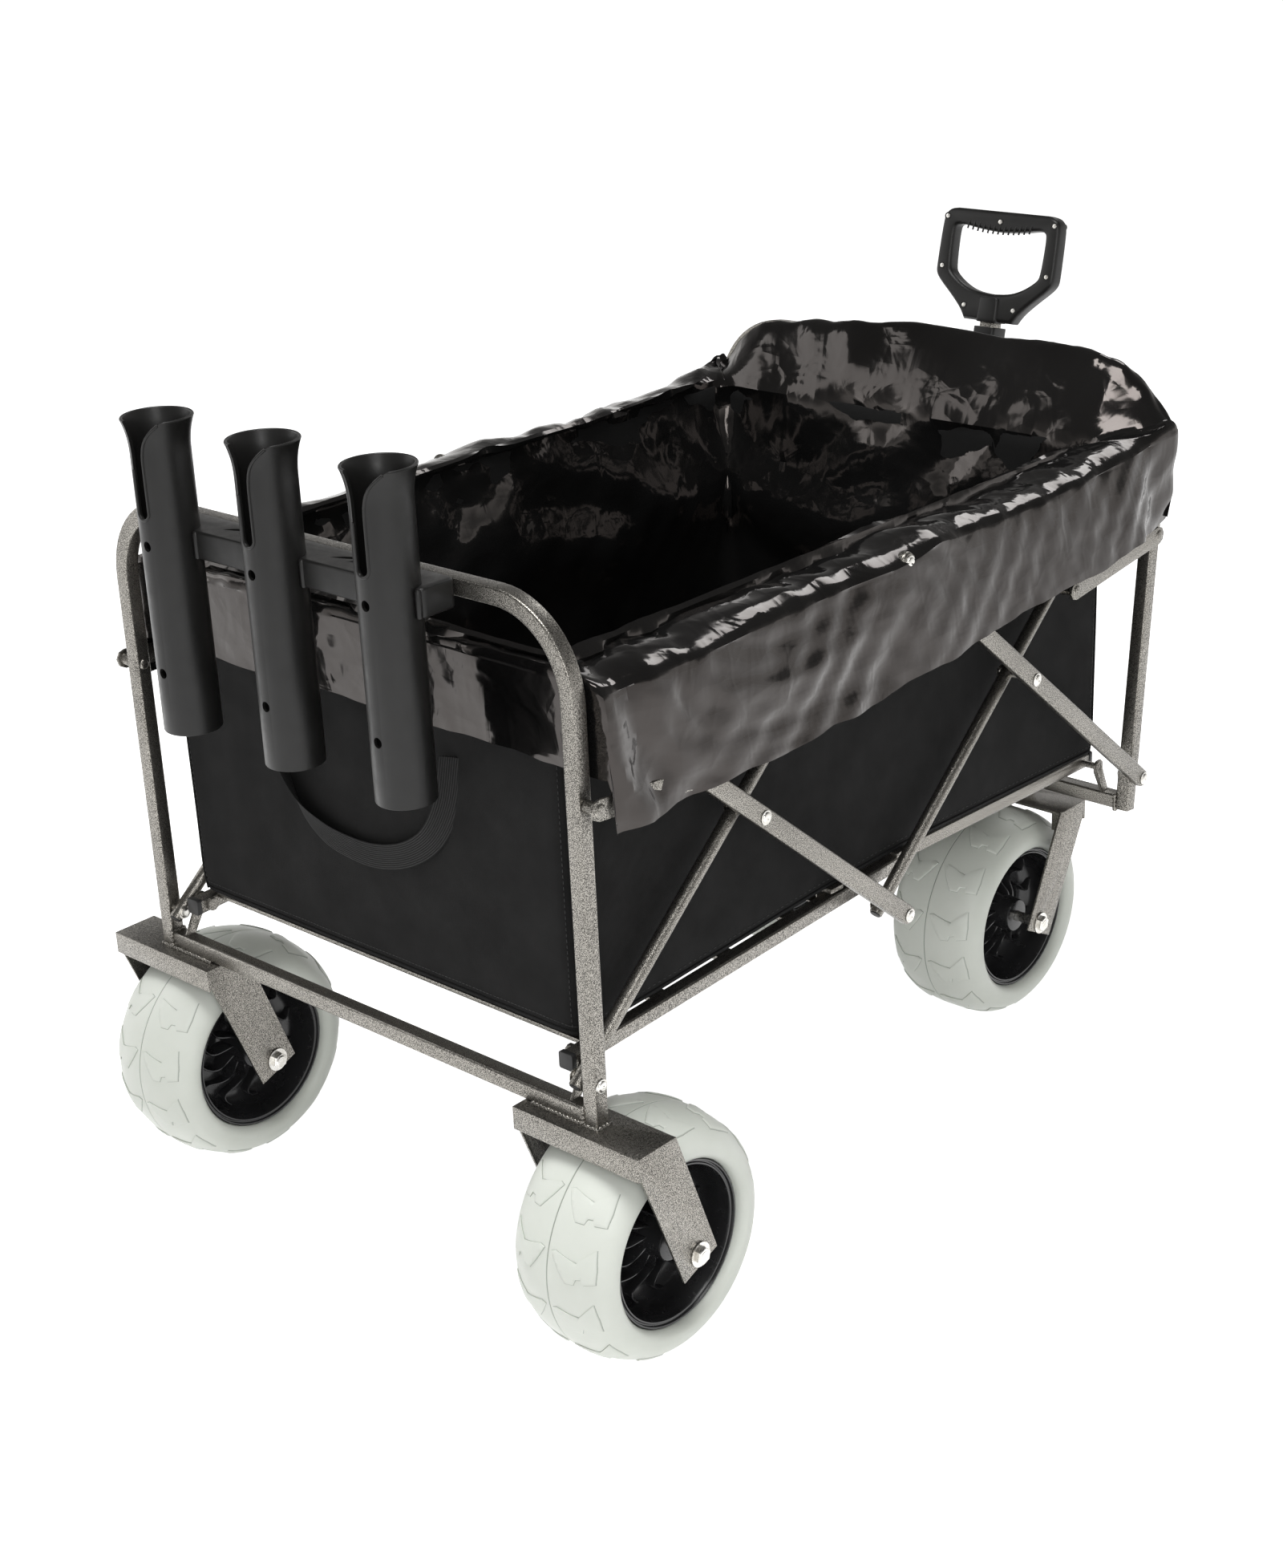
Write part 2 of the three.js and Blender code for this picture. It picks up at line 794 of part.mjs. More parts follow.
const wheels = [
  ["rear_right", rearWheelX, rearAxleY],
  ["rear_left", -rearWheelX, rearAxleY],
  ["front_right", casterX, frontAxleY],
  ["front_left", -casterX, frontAxleY],
];
for (const [name, x, y] of wheels) {
  addNode("tyre_" + name, onAxle(tyreProfile(), x, y), finish.tyre);
  addNode("hub_" + name, onAxle(hubProfile(), x, y), finish.plastic);
  addNode("axle_bolt_" + name, axleBolt(x, y), finish.zinc);
}

// A wheel's bracket: a channel across the wheel with a slanting plate at each end.
function wheelFork(x, y, top, axleY) {
  const half = forkHalfLength;
  const channel = without(
    box(x - half, x + half, y - forkWidth / 2, y + forkWidth / 2, top - forkSkirt, top),
    box(
      x - half - overrun,
      x + half + overrun,
      y - forkWidth / 2 + forkPlate,
      y + forkWidth / 2 - forkPlate,
      top - forkSkirt - overrun,
      top - forkPlate,
    ),
  );
  const clipped = clearWheel(x, axleY);
  const way = Math.sign(axleY - y);
  const slant = Math.atan2(Math.abs(axleY - y), top - tyreRadius);
  const at = (across, beyond) => [
    axleY + way * (across * Math.cos(slant) + beyond * Math.sin(slant)),
    tyreRadius + across * Math.sin(slant) - beyond * Math.cos(slant),
  ];
  const corners = [
    at(-forkTrail, forkBeyond),
    at(forkPlateWidth - forkTrail, forkBeyond),
    [y + (way * forkWidth) / 2, top],
    [y - (way * forkWidth) / 2, top],
    [y - (way * forkWidth) / 2, top - forkSkirt / 2],
  ];
  const shape = outline(way > 0 ? corners : corners.reverse());
  const plate = (x0) => {
    const made = sidePlate(shape, x0, x0 + forkPlate);
    const hole = roundOnX(x0 - overrun, x0 + forkPlate + overrun, axleHole, axleY, tyreRadius);
    return without(made, hole);
  };
  return joined(without(channel, clipped), plate(x - half), plate(x + half - forkPlate));
}

const wheelRoom = 4;

// The room that a wheel turns in, cut out of its bracket's skirts.
function clearWheel(x, y) {
  const room = tyreRadius + wheelRoom;
  return roundOnX(x - tyreHalfWidth - wheelRoom, x + tyreHalfWidth + wheelRoom, room, y, tyreRadius, 48);
}

const rearForkY = 1.5;
addPair("rear_fork", wheelFork(rearWheelX, rearForkY, forkTop, rearAxleY), finish.steel);

const casterFork = without(wheelFork(casterX, frontBarY - 8, casterTop, frontAxleY), kingpinHole);
addPair("caster_fork", casterFork, finish.steel);

// The kingpin hangs in the cross bar and carries the caster under a washer.
const kingpinFlange = 17;
const kingpinNut = 8;
const kingpinHead = 3;
addPair(
  "caster_kingpin",
  turnedOnZ(
    [
      [0, casterTop - forkPlate - kingpinNut / 2],
      [kingpinRadius * 2, casterTop - forkPlate - kingpinNut / 2],
      [kingpinRadius * 2, casterTop - forkPlate - seat],
      [kingpinRadius, casterTop - forkPlate - seat],
      [kingpinRadius, casterTop + seat],
      [kingpinFlange, casterTop + seat],
      [kingpinFlange, legFoot - seat],
      [kingpinRadius, legFoot - seat],
      [kingpinRadius, legFoot + frameTube + 2 * seat],
      [kingpinRadius * 1.6, legFoot + frameTube + 2 * seat],
      [kingpinRadius * 1.6, legFoot + frameTube + kingpinHead],
      [0, legFoot + frameTube + kingpinHead],
    ],
    casterX,
    frontBarY,
    boreSides,
  ),
  finish.zinc,
);

// Pull handle, drawn upright at the origin and then leant forward about its pivot

const handlePlace = new THREE.Matrix4()
  .makeTranslation(0, handlePivotY, handlePivotHeight)
  .multiply(new THREE.Matrix4().makeRotationX(-handleLeanDeg * deg));

function upright(section, z0, z1) {
  const made = new THREE.ExtrudeGeometry(section, { depth: z1 - z0, bevelEnabled: false });
  made.translate(0, 0, z0);
  return made;
}

function addHandleNode(name, shape, material) {
  const geometry = shape instanceof THREE.BufferGeometry ? shape : geometryOf(shape);
  geometry.applyMatrix4(handlePlace);
  addNode(name, geometry, material);
}

const shaftFoot = -16;
const outerShaft = without(
  solid(upright(tubeSection(handleTube, handleTube, tubeWall), shaftFoot, shaftLength)),
  roundOnX(-handleTube, handleTube, pinRadius + seat, 0, 0),
);
addHandleNode("handle_outer_tube", outerShaft, finish.steel);
const collar = without(
  solid(upright(outline(rounded(collarSize, collarSize, 3)), shaftLength - collarHeight, shaftLength + seat + 2)),
  solid(upright(outline(rounded(handleTube + 2 * seat, handleTube + 2 * seat, 3)), 0, shaftLength + seat)),
  solid(upright(outline(rounded(handleInner + 2 * seat, handleInner + 2 * seat, 2)), 0, 2 * shaftLength)),
);
addHandleNode("handle_collar", collar, finish.plastic);
const gripFoot = shaftLength + gripNeck;
addHandleNode(
  "handle_inner_tube",
  solid(upright(tubeSection(handleInner, handleInner, tubeWall), shaftLength - insertion, gripFoot + 22)),
  finish.zinc,
);

// The grip's outline and finger opening, from its neck up, as shares of its half width and height.
const gripOuterShares = [
  [0.41, 0], [0.5, 0.09], [0.68, 0.2], [0.92, 0.33], [0.99, 0.39], [1, 0.46], [0.985, 0.88],
  [0.95, 0.95], [0.87, 0.99], [0.76, 1],
];
const gripInnerShares = [
  [0, 0.25], [0.3, 0.265], [0.52, 0.32], [0.72, 0.41], [0.76, 0.47], [0.775, 0.8], [0.74, 0.85],
  [0.62, 0.855], [0.34, 0.825], [0, 0.81],
];

function grip() {
  const place = ([a, b]) => [a * gripHalfWidth, b * gripHeight];
  const flipX = ([a, b]) => [-a, b];
  const outer = gripOuterShares.map(place);
  const inner = gripInnerShares.map(place);
  const shape = outline([...outer, ...outer.map(flipX).reverse()]);
  hollowed(shape, [...inner, ...inner.slice(1, -1).map(flipX).reverse()]);
  const bevel = 3;
  const made = new THREE.ExtrudeGeometry(shape, {
    depth: gripThick - 2 * bevel,
    bevelEnabled: true,
    bevelThickness: bevel,
    bevelSize: bevel,
    bevelOffset: -bevel,
    bevelSegments: 2,
  });
  made.translate(0, 0, bevel - gripThick / 2);
  made.rotateX(Math.PI / 2);
  made.translate(0, 0, gripFoot);
  const socket = upright(outline(rounded(handleInner + 2 * seat, handleInner + 2 * seat, 2)), 0, gripFoot + 24);
  const neckHalf = gripThick / 2 + 4;
  const neck = upright(outline(rounded(2 * neckHalf, 2 * neckHalf, 4)), gripFoot, gripFoot + 28);
  return without(joined(solid(made), solid(neck)), solid(socket));
}

addHandleNode("handle_grip", grip(), finish.plastic);

const earOut = earX + earThick;
addNode(
  "handle_pivot_bolt",
  turnedOnX(
    [
      [-earOut - seat - headHeight, 0],
      [-earOut - seat - headHeight, headRadius],
      [-earOut - seat, headRadius],
      [-earOut - seat, pinRadius],
      [earOut + seat, pinRadius],
      [earOut + seat, headRadius],
      [earOut + seat + headHeight, headRadius],
      [earOut + seat + headHeight, 0],
    ],
    handlePivotY,
    handlePivotHeight,
    boreSides,
  ),
  finish.zinc,
);

// Rod holders: tubes with a flared mouth, a J-shaped slot for the reel's foot and two cross holes

const holderRadius = holderBore + holderWall;
const holderY = -holderBehind;
const bracketRear = -frameTube / 2 - seat - bracketDepth;
const holderSides = 20;

function holderTube(x) {
  const flare = holderMouth - holderRadius;
  const flareHeight = flare * 5;
  const outer = [];
  const inner = [];
  const steps = 3;
  for (let i = 0; i <= steps; i++) {
    const share = i / steps;
    const z = holderTop - flareHeight * (1 - share);
    outer.push([holderRadius + flare * share ** 2, z]);
    inner.push([holderBore + flare * share ** 2, z]);
  }
  const wall = [
    [holderBore, holderBottom],
    [holderRadius, holderBottom],
    ...outer,
    ...inner.reverse(),
    [holderBore, holderBottom],
  ];
  const tube = turnedOnZ(wall, x, holderY, holderSides);
  const slot = new THREE.Shape();
  const half = slotWidth / 2;
  slot.moveTo(-half, holderTop + overrun);
  slot.lineTo(-half, slotBottom + half);
  slot.absarc(0, slotBottom + half, half, Math.PI, 2 * Math.PI, false);
  slot.lineTo(half, holderTop - slotSweep);
  slot.quadraticCurveTo(half, holderTop - slotSweep / 2, slotSweep * 0.55, holderTop - slotSweep / 2.6);
  slot.quadraticCurveTo(slotSweep * 1.1, holderTop - slotSweep / 4, slotSweep * 1.5, holderTop + overrun);
  const cutter = new THREE.ExtrudeGeometry(slot, { depth: 2 * holderMouth, bevelEnabled: false, curveSegments: 6 });
  cutter.rotateX(Math.PI / 2);
  cutter.translate(x, holderY, 0);
  const hole = (z) => {
    const made = new THREE.CylinderGeometry(holderHole, holderHole, 3 * holderMouth, 8);
    made.translate(x, holderY, z);
    return solid(made);
  };
  return without(tube, solid(cutter), hole(upperHole), hole(lowerHole));
}

const slotWidth = 15;
const slotBottom = bracketTop + slotFoot;
const slotSweep = 40;
const upperHole = bracketTop - upperHoleDrop;
const lowerHole = holderBottom + lowerHoleRise;
const holders = [["left", -holderSpacing], ["middle", 0], ["right", holderSpacing]];
for (const [name, x] of holders) {
  addNode("rod_holder_" + name, holderTube(x), finish.plastic);
}

const holderPocket = (x) =>
  turnedOnZ(
    [
      [0, holderBottom],
      [holderRadius + seat, holderBottom],
      [holderRadius + seat, holderTop],
      [0, holderTop],
    ],
    x,
    holderY,
    holderSides,
  );
const bracketFront = -frameTube / 2 - seat;
const bracketBody = without(
  box(-bracketHalf, bracketHalf, bracketRear, bracketFront, bracketTop - bracketHeight, bracketTop),
  box(
    bracketWall - bracketHalf,
    bracketHalf - bracketWall,
    bracketRear + bracketWall,
    bracketFront - bracketWall,
    bracketTop - bracketHeight - overrun,
    bracketTop - bracketWall,
  ),
);
// Rings in the bracket that the holders are pushed through.
const bracketRing = (x) => {
  const ring = turnedOnZ(
    [
      [0, bracketTop - bracketHeight],
      [holderRadius + bracketWall + seat, bracketTop - bracketHeight],
      [holderRadius + bracketWall + seat, bracketTop - seat],
      [0, bracketTop - seat],
    ],
    x,
    holderY,
    holderSides,
  );
  return ring.intersect(
    box(-legSpacing, legSpacing, bracketRear, bracketFront, bracketTop - bracketHeight, bracketTop),
  );
};
addNode(
  "rod_holder_bracket",
  without(
    joined(bracketBody, ...holders.map(([, x]) => bracketRing(x))),
    ...holders.map(([, x]) => holderPocket(x)),
  ),
  finish.plastic,
);

// Cloth tub: a floor that follows the base, four walls, open at the top

const tubShape = (inset, top) =>
  outline([
    [tubRear + inset, tubFloorEnd + inset],
    [2 * reach - floorFlat, tubFloorMiddle + inset],
    [2 * reach + floorFlat, tubFloorMiddle + inset],
    [tubFront - inset, tubFloorEnd + inset],
    [tubFront - inset, top],
    [tubRear + inset, top],
  ]);
addNode(
  "cloth_tub",
  without(
    sidePlate(tubShape(0, tubTop), -tubHalfWidth, tubHalfWidth),
    sidePlate(tubShape(clothThick, tubTop + overrun), clothThick - tubHalfWidth, tubHalfWidth - clothThick),
  ),
  finish.cloth,
);

// Liner: one film, laid over floor and walls, folded out over the rim and hanging down outside with a wavy hem.
// It is a grid of rings round the tub and stations down the film, given a thickness.

const linerRoom = clothThick + filmGap;
const skirtOut = 23.5; // outside the legs, clear of the links
const skirtX = legOut + skirtOut;
const skirtRear = 12.5;
const skirtFront = frontLegY(frameTop) + frameTube / 2 + 12;
const ridgeHeight = tubTop + 15;
const frontRidge = frameTop + 27.5;
const hemHeight = tubTop - 135;
const frontHem = tubTop - 84;

// A place on a rectangle round the trolley: sides 0 to 3 are rear, right, front and left.
function rectangle(side, share, halfX, y0, y1) {
  if (side === 0) return [-halfX + 2 * halfX * share, y0];
  if (side === 1) return [halfX, y0 + (y1 - y0) * share];
  if (side === 2) return [halfX - 2 * halfX * share, y1];
  return [-halfX, y1 + (y0 - y1) * share];
}

const foldWaves = 11;
const foldDepth = 3;
const hemWave = 8;
const ridgeY = frontLegY(frameTop) + frameTube / 2 - 2;
const rimRise = 3;
const shoulderDrop = 6;
const rearHem = rearLinkHeight + 14;
const rearHemRun = 0.006; // share of the rear edge in which the hem steps up past the links
const frontRidgeShares = [
  [0, 0.62], [0.07, 0.77], [0.15, 0.86], [0.3, 0.93], [0.6, 1], [0.85, 0.93], [1, 0.78],
]; // from the right corner to the left one
const sideRidgeShares = [[0, 0], [0.62, 0.02], [0.86, 0.28], [1, 1]];
const ringShares = [
  [0, 0.006, 0.04, 0.11, 0.2, 0.3, 0.4, 0.5, 0.6, 0.7, 0.8, 0.89, 0.96, 0.994],
  [0, 0.05, 0.11, 0.17, 0.23, 0.29, 0.35, 0.41, 0.47, 0.53, 0.59, 0.65, 0.71, 0.77, 0.83, 0.89, 0.95],
  [0, 0.035, 0.07, 0.11, 0.15, 0.22, 0.3, 0.4, 0.5, 0.6, 0.7, 0.78, 0.85, 0.9, 0.94, 0.97],
  [0, 0.05, 0.11, 0.17, 0.23, 0.29, 0.35, 0.41, 0.47, 0.53, 0.59, 0.65, 0.71, 0.77, 0.83, 0.89, 0.95],
];

function along(list, share) {
  for (let i = 1; i < list.length; i++) {
    const [a, u] = list[i - 1];
    const [b, v] = list[i];
    if (share <= b) return u + ((v - u) * (share - a)) / (b - a);
  }
  return list[list.length - 1][1];
}

function ridgeAt(side, share) {
  const climb = frontRidge - ridgeHeight;
  if (side === 0) return ridgeHeight;
  if (side === 2) return ridgeHeight + climb * along(frontRidgeShares, share);
  const towardsFront = side === 1 ? share : 1 - share;
  const corner = along(frontRidgeShares, side === 1 ? 0 : 1);
  return ridgeHeight + climb * corner * along(sideRidgeShares, towardsFront);
}

function hemAt(side, share, wave) {
  if (side === 0) {
    const in0 = Math.min(1, Math.min(share, 1 - share) / rearHemRun);
    return hemHeight + (rearHem - hemHeight) * in0 + hemWave * wave * 0.4;
  }
  if (side === 2) return frontHem + hemWave * wave;
  const towardsFront = side === 1 ? share : 1 - share;
  return hemHeight + (frontHem - hemHeight) * towardsFront ** 1.5 + hemWave * wave;
}

function linerStations(side, share) {
  const turn = side + share;
  const wave = Math.sin((turn * foldWaves * Math.PI) / 2) * Math.sin(share * Math.PI);
  const ridge = ridgeAt(side, share);
  const hem = hemAt(side, share, wave);
  const inX = tubHalfWidth - linerRoom;
  const inRear = tubRear + linerRoom;
  const inFront = tubFront - linerRoom;
  const middle = (inRear + inFront) / 2;
  const floorAt = (y) => {
    const away = Math.max(0, Math.abs(y - 2 * reach) - floorFlat);
    const run = 2 * reach - floorFlat - tubRear;
    const climb = tubFloorMiddle - tubFloorEnd;
    return tubFloorMiddle - climb * Math.min(1, away / run) + linerRoom + filmGap;
  };
  const bulge = foldDepth * (1 + wave);
  const sideBulge = side % 2 ? bulge : 0;
  const at = (halfX, y0, y1, z) => [...rectangle(side, share, halfX, y0, y1), z];
  const [cx, cy] = rectangle(side, share, inX / 2, middle - inX / 2, middle + inX / 2);
  const [fx, fy] = rectangle(side, share, inX, inRear, inFront);
  const stations = [
    [cx, cy, floorAt(cy)],
    [fx, fy, floorAt(fy)],
    [fx, fy, tubTop + rimRise],
    at(inX, inRear, inFront + (ridgeY - inFront) * lipShare, tubTop + (ridge - tubTop) * lipRise + rimRise / 2),
    at((inX + skirtX) / 2, (inRear + skirtRear) / 2, ridgeY, ridge),
    at(skirtX, skirtRear, skirtFront, ridge - shoulderDrop),
    at(skirtX + sideBulge, skirtRear, skirtFront + bulge, (ridge + hem) / 2),
    at(skirtX + sideBulge / 2, skirtRear, skirtFront + bulge / 2, hem),
  ];
  return stations.map((p) => new THREE.Vector3(...p));
}

const lipShare = 0.5; // of the way from the wall to the ridge
const lipRise = 0.72;

function film() {
  const rings = ringShares.flatMap((shares, side) => shares.map((share) => linerStations(side, share)));
  const ringCount = rings.length;
  const stationCount = rings[0].length;
  const centreY = (tubRear + tubFront) / 2;
  const places = [];
  const inner = [];
  const outer = [];
  const normalAt = (i, j) => {
    const a = rings[(i + 1) % ringCount][j];
    const b = rings[(i + ringCount - 1) % ringCount][j];
    const c = rings[i][Math.min(stationCount - 1, j + 1)];
    const d = rings[i][Math.max(0, j - 1)];
    const across = new THREE.Vector3().subVectors(a, b);
    const along = new THREE.Vector3().subVectors(c, d);
    return new THREE.Vector3().crossVectors(along, across).normalize();
  };
  for (let i = 0; i < ringCount; i++) {
    for (let j = 0; j < stationCount; j++) {
      const p = rings[i][j];
      const n = normalAt(i, j).multiplyScalar(filmThick);
      inner.push(places.length / 3);
      places.push(p.x, p.y, p.z);
      outer.push(places.length / 3);
      places.push(p.x + n.x, p.y + n.y, p.z + n.z);
    }
  }
  const hubA = places.length / 3;
  const floorZ = rings[0][0].z;
  const middleZ = tubFloorMiddle + linerRoom + filmGap;
  places.push(0, centreY, Math.max(floorZ, middleZ));
  const hubB = places.length / 3;
  places.push(0, centreY, Math.max(floorZ, middleZ) + filmThick);
  const at = (list, i, j) => list[(i % ringCount) * stationCount + j];
  const faces = [];
  for (let i = 0; i < ringCount; i++) {
    for (let j = 0; j < stationCount - 1; j++) {
      const [a, b, c, d] = [at(inner, i, j), at(inner, i + 1, j), at(inner, i + 1, j + 1), at(inner, i, j + 1)];
      faces.push(a, b, c, a, c, d);
      const [e, f, g, h] = [at(outer, i, j), at(outer, i + 1, j), at(outer, i + 1, j + 1), at(outer, i, j + 1)];
      faces.push(e, g, f, e, h, g);
    }
    const last = stationCount - 1;
    faces.push(at(inner, i, last), at(inner, i + 1, last), at(outer, i + 1, last));
    faces.push(at(inner, i, last), at(outer, i + 1, last), at(outer, i, last));
    faces.push(hubA, at(inner, i + 1, 0), at(inner, i, 0));
    faces.push(hubB, at(outer, i, 0), at(outer, i + 1, 0));
  }
  const geometry = new THREE.BufferGeometry();
  geometry.setAttribute("position", new THREE.Float32BufferAttribute(places, 3));
  geometry.setIndex(faces);
  return geometry;
}

addNode("film_liner", solid(film()), finish.film);

// Carrying strap: a loop of webbing sewn to the rear wall, hanging below the hem
const strapPlaces = [
  [-118, 113], [-108, 168], [-88, 210], [-58, 233], [-20, 242], [20, 241], [62, 228], [98, 202], [122, 163],
  [134, 113],
]; // across, and below the rim
const strapY = tubRear - seat - strapThick / 2;
function strap() {
  const shape = outline([
    [-strapThick / 2, -strapWidth / 2],
    [strapThick / 2, -strapWidth / 2],
    [strapThick / 2, strapWidth / 2],
    [-strapThick / 2, strapWidth / 2],
  ]);
  return swept(shape, strapPlaces.map(([x, drop]) => new THREE.Vector3(x, strapY, tubTop - drop)));
}
addNode("carry_strap", strap(), finish.cloth);

// The trolley's own frame: on the ground, in the middle of its overall length.
const extent = new THREE.Box3().setFromObject(trolley);
trolley.position.set(0, -(extent.min.y + extent.max.y) / 2, -extent.min.z);

export default trolley;
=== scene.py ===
"""The looks of a folding fishing trolley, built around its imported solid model.

The solid model is loaded as a fixed frame. Every piece below takes its size and place from
the boxes of the frame's nodes, and rides on the body that carries it. Lengths are in metres.
"""

import json
import math
from functools import cache

import bmesh
import bpy
from mathutils import Matrix, Vector, noise

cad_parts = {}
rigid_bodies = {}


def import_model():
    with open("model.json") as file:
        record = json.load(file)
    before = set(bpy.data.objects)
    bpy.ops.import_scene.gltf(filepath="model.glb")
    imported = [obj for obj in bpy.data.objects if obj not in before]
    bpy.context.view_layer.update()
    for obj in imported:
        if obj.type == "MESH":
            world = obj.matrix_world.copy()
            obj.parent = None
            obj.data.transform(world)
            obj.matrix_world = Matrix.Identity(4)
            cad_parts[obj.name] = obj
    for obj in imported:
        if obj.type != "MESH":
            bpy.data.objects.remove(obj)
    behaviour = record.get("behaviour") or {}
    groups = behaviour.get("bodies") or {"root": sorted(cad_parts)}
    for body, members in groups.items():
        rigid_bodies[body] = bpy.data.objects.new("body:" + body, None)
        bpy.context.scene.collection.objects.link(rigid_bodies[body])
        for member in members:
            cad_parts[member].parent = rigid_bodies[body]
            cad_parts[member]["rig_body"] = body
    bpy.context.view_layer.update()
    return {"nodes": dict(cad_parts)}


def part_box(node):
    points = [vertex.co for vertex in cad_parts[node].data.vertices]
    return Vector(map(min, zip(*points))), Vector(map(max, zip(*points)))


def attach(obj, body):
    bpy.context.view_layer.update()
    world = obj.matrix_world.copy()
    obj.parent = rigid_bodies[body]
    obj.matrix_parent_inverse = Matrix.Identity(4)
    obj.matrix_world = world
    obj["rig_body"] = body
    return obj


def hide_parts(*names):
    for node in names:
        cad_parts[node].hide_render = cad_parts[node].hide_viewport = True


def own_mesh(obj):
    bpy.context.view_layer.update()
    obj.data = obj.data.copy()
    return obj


bl_info = {
    "name": "Fishing Trolley",
    "version": (1, 0, 0),
    "blender": (4, 5, 0),
    "location": "View3D > Sidebar > Trolley",
    "description": "Builds a folding fishing trolley around its packed solid model",
    "category": "Object",
}

MM = 0.001
SIDES = ("left", "right")
WHEELS = ("rear_left", "rear_right", "front_left", "front_right")
HOLDERS = ("left", "middle", "right")
MERGE = 0.002 * MM  # between vertices that are one

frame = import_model()


# Reading the frame


def middle(node):
    low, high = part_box(node)
    return (low + high) / 2


def extent(node):
    low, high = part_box(node)
    return high - low


def carrier_of(node):
    """The body that a node of the frame rides on."""
    return frame["nodes"][node]["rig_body"]


def smooth(share):
    share = min(1, max(0, share))
    return share * share * (3 - 2 * share)


def mix(a, b, share):
    return a + (b - a) * share


# Meshes


class Shape:
    """The vertices and faces of one piece, gathered solid by solid."""

    def __init__(self):
        self.places = []
        self.faces = []
        self.slots = []
        self.marks = []

    def add(self, places, faces, slot=0, mark=0.0):
        start = len(self.places)
        self.places += [Vector(p) for p in places]
        self.faces += [[start + i for i in face] for face in faces]
        self.slots += [slot] * len(faces)
        self.marks += [mark] * len(places)
        return self

    def mirrored(self):
        """The same solids and their mirror images across the middle plane."""
        count = len(self.places)
        self.places += [Vector((-p.x, p.y, p.z)) for p in self.places]
        self.faces += [[count + i for i in reversed(face)] for face in list(self.faces)]
        self.slots *= 2
        self.marks *= 2
        return self

    def build(self, name, *materials, sharp=35, recalculate=True):
        mesh = bpy.data.meshes.new(name)
        mesh.from_pydata(self.places, [], self.faces)
        for material in materials:
            mesh.materials.append(material)
        mesh.polygons.foreach_set("material_index", self.slots)
        # The marks go to a point attribute; on the tyre they place painted shade at the lug feet and the
        # crown's seam.
        if any(self.marks):
            layer = mesh.attributes.new("groove", "FLOAT", "POINT")
            layer.data.foreach_set("value", self.marks)
        if recalculate:
            tidy(mesh)
        return placed(name, mesh, sharp)


def tidy(mesh, merge=MERGE):
    """Merges doubled vertices, if asked to, and turns the faces outward."""
    shape = bmesh.new()
    shape.from_mesh(mesh)
    if merge:
        bmesh.ops.remove_doubles(shape, verts=shape.verts, dist=merge)
    bmesh.ops.recalc_face_normals(shape, faces=shape.faces)
    shape.to_mesh(mesh)
    shape.free()


def shaded(mesh, sharp):
    """Smooth, with edges past the sharp angle in degrees left sharp."""
    mesh.shade_smooth()
    mesh.set_sharp_from_angle(angle=math.radians(sharp))


def in_scene(name, data):
    made = bpy.data.objects.new(name, data)
    bpy.context.scene.collection.objects.link(made)
    return made


def placed(name, mesh, sharp=35):
    shaded(mesh, sharp)
    return in_scene(name, mesh)


def discarded(*pieces):
    for made in pieces:
        mesh = made.data
        bpy.data.objects.remove(made)
        bpy.data.meshes.remove(mesh)


def settled(made, sharp=35):
    """The piece with its modifiers worked into its mesh."""
    graph = bpy.context.evaluated_depsgraph_get()
    mesh = bpy.data.meshes.new_from_object(made.evaluated_get(graph), depsgraph=graph)
    made.modifiers.clear()
    old, made.data = made.data, mesh
    mesh.name = made.name
    bpy.data.meshes.remove(old)
    shaded(mesh, sharp)
    return made


def joined(made, *others):
    """Adds the other pieces' faces to the first one's mesh and removes them."""
    shape = bmesh.new()
    for part in (made, *others):
        slots = []
        for material in part.data.materials:
            if material.name not in made.data.materials:
                made.data.materials.append(material)
            slots.append(made.data.materials.find(material.name))
        before = len(shape.faces)
        shape.from_mesh(part.data)
        shape.faces.ensure_lookup_table()
        for face in shape.faces[before:]:
            face.material_index = slots[face.material_index] if slots else 0
    shape.to_mesh(made.data)
    shape.free()
    discarded(*others)
    return made


def bevelled(made, width, segments=2, angle=28, sharp=35):
    edge = made.modifiers.new("edges", "BEVEL")
    edge.width = width
    edge.segments = segments
    edge.limit_method = "ANGLE"
    edge.angle_limit = math.radians(angle)
    edge.use_clamp_overlap = True
    return settled(made, sharp)


def carved(made, *cutters, sharp=35):
    """Cuts the cutters out of the piece and removes them."""
    for cutter in cutters:
        cut = made.modifiers.new("cut", "BOOLEAN")
        cut.operation = "DIFFERENCE"
        cut.solver = "EXACT"
        cut.object = cutter
    settled(made, sharp)
    discarded(*cutters)
    return made


def sweep(path, section, lateral, closed=False):
    """Carries a section, drawn in (lateral, upward) places, along the path as a closed solid."""
    count = len(path)
    places = []
    side = Vector(lateral)
    for i, point in enumerate(path):
        before = path[i - 1] if i or closed else point
        after = path[(i + 1) % count] if i < count - 1 or closed else point
        along = (after - before).normalized()
        side = (side - along * side.dot(along)).normalized()
        up = along.cross(side)
        outline = section(i / count) if callable(section) else section
        places += [point + side * u + up * v for u, v in outline]
    round_count = len(places) // count
    faces = []
    for i in range(count if closed else count - 1):
        for j in range(round_count):
            k = (j + 1) % round_count
            a, b = i * round_count, ((i + 1) % count) * round_count
            faces.append([a + j, b + j, b + k, a + k])
    if not closed:
        faces.append(list(range(round_count)))
        faces.append(list(reversed(range(len(places) - round_count, len(places)))))
    return places, faces


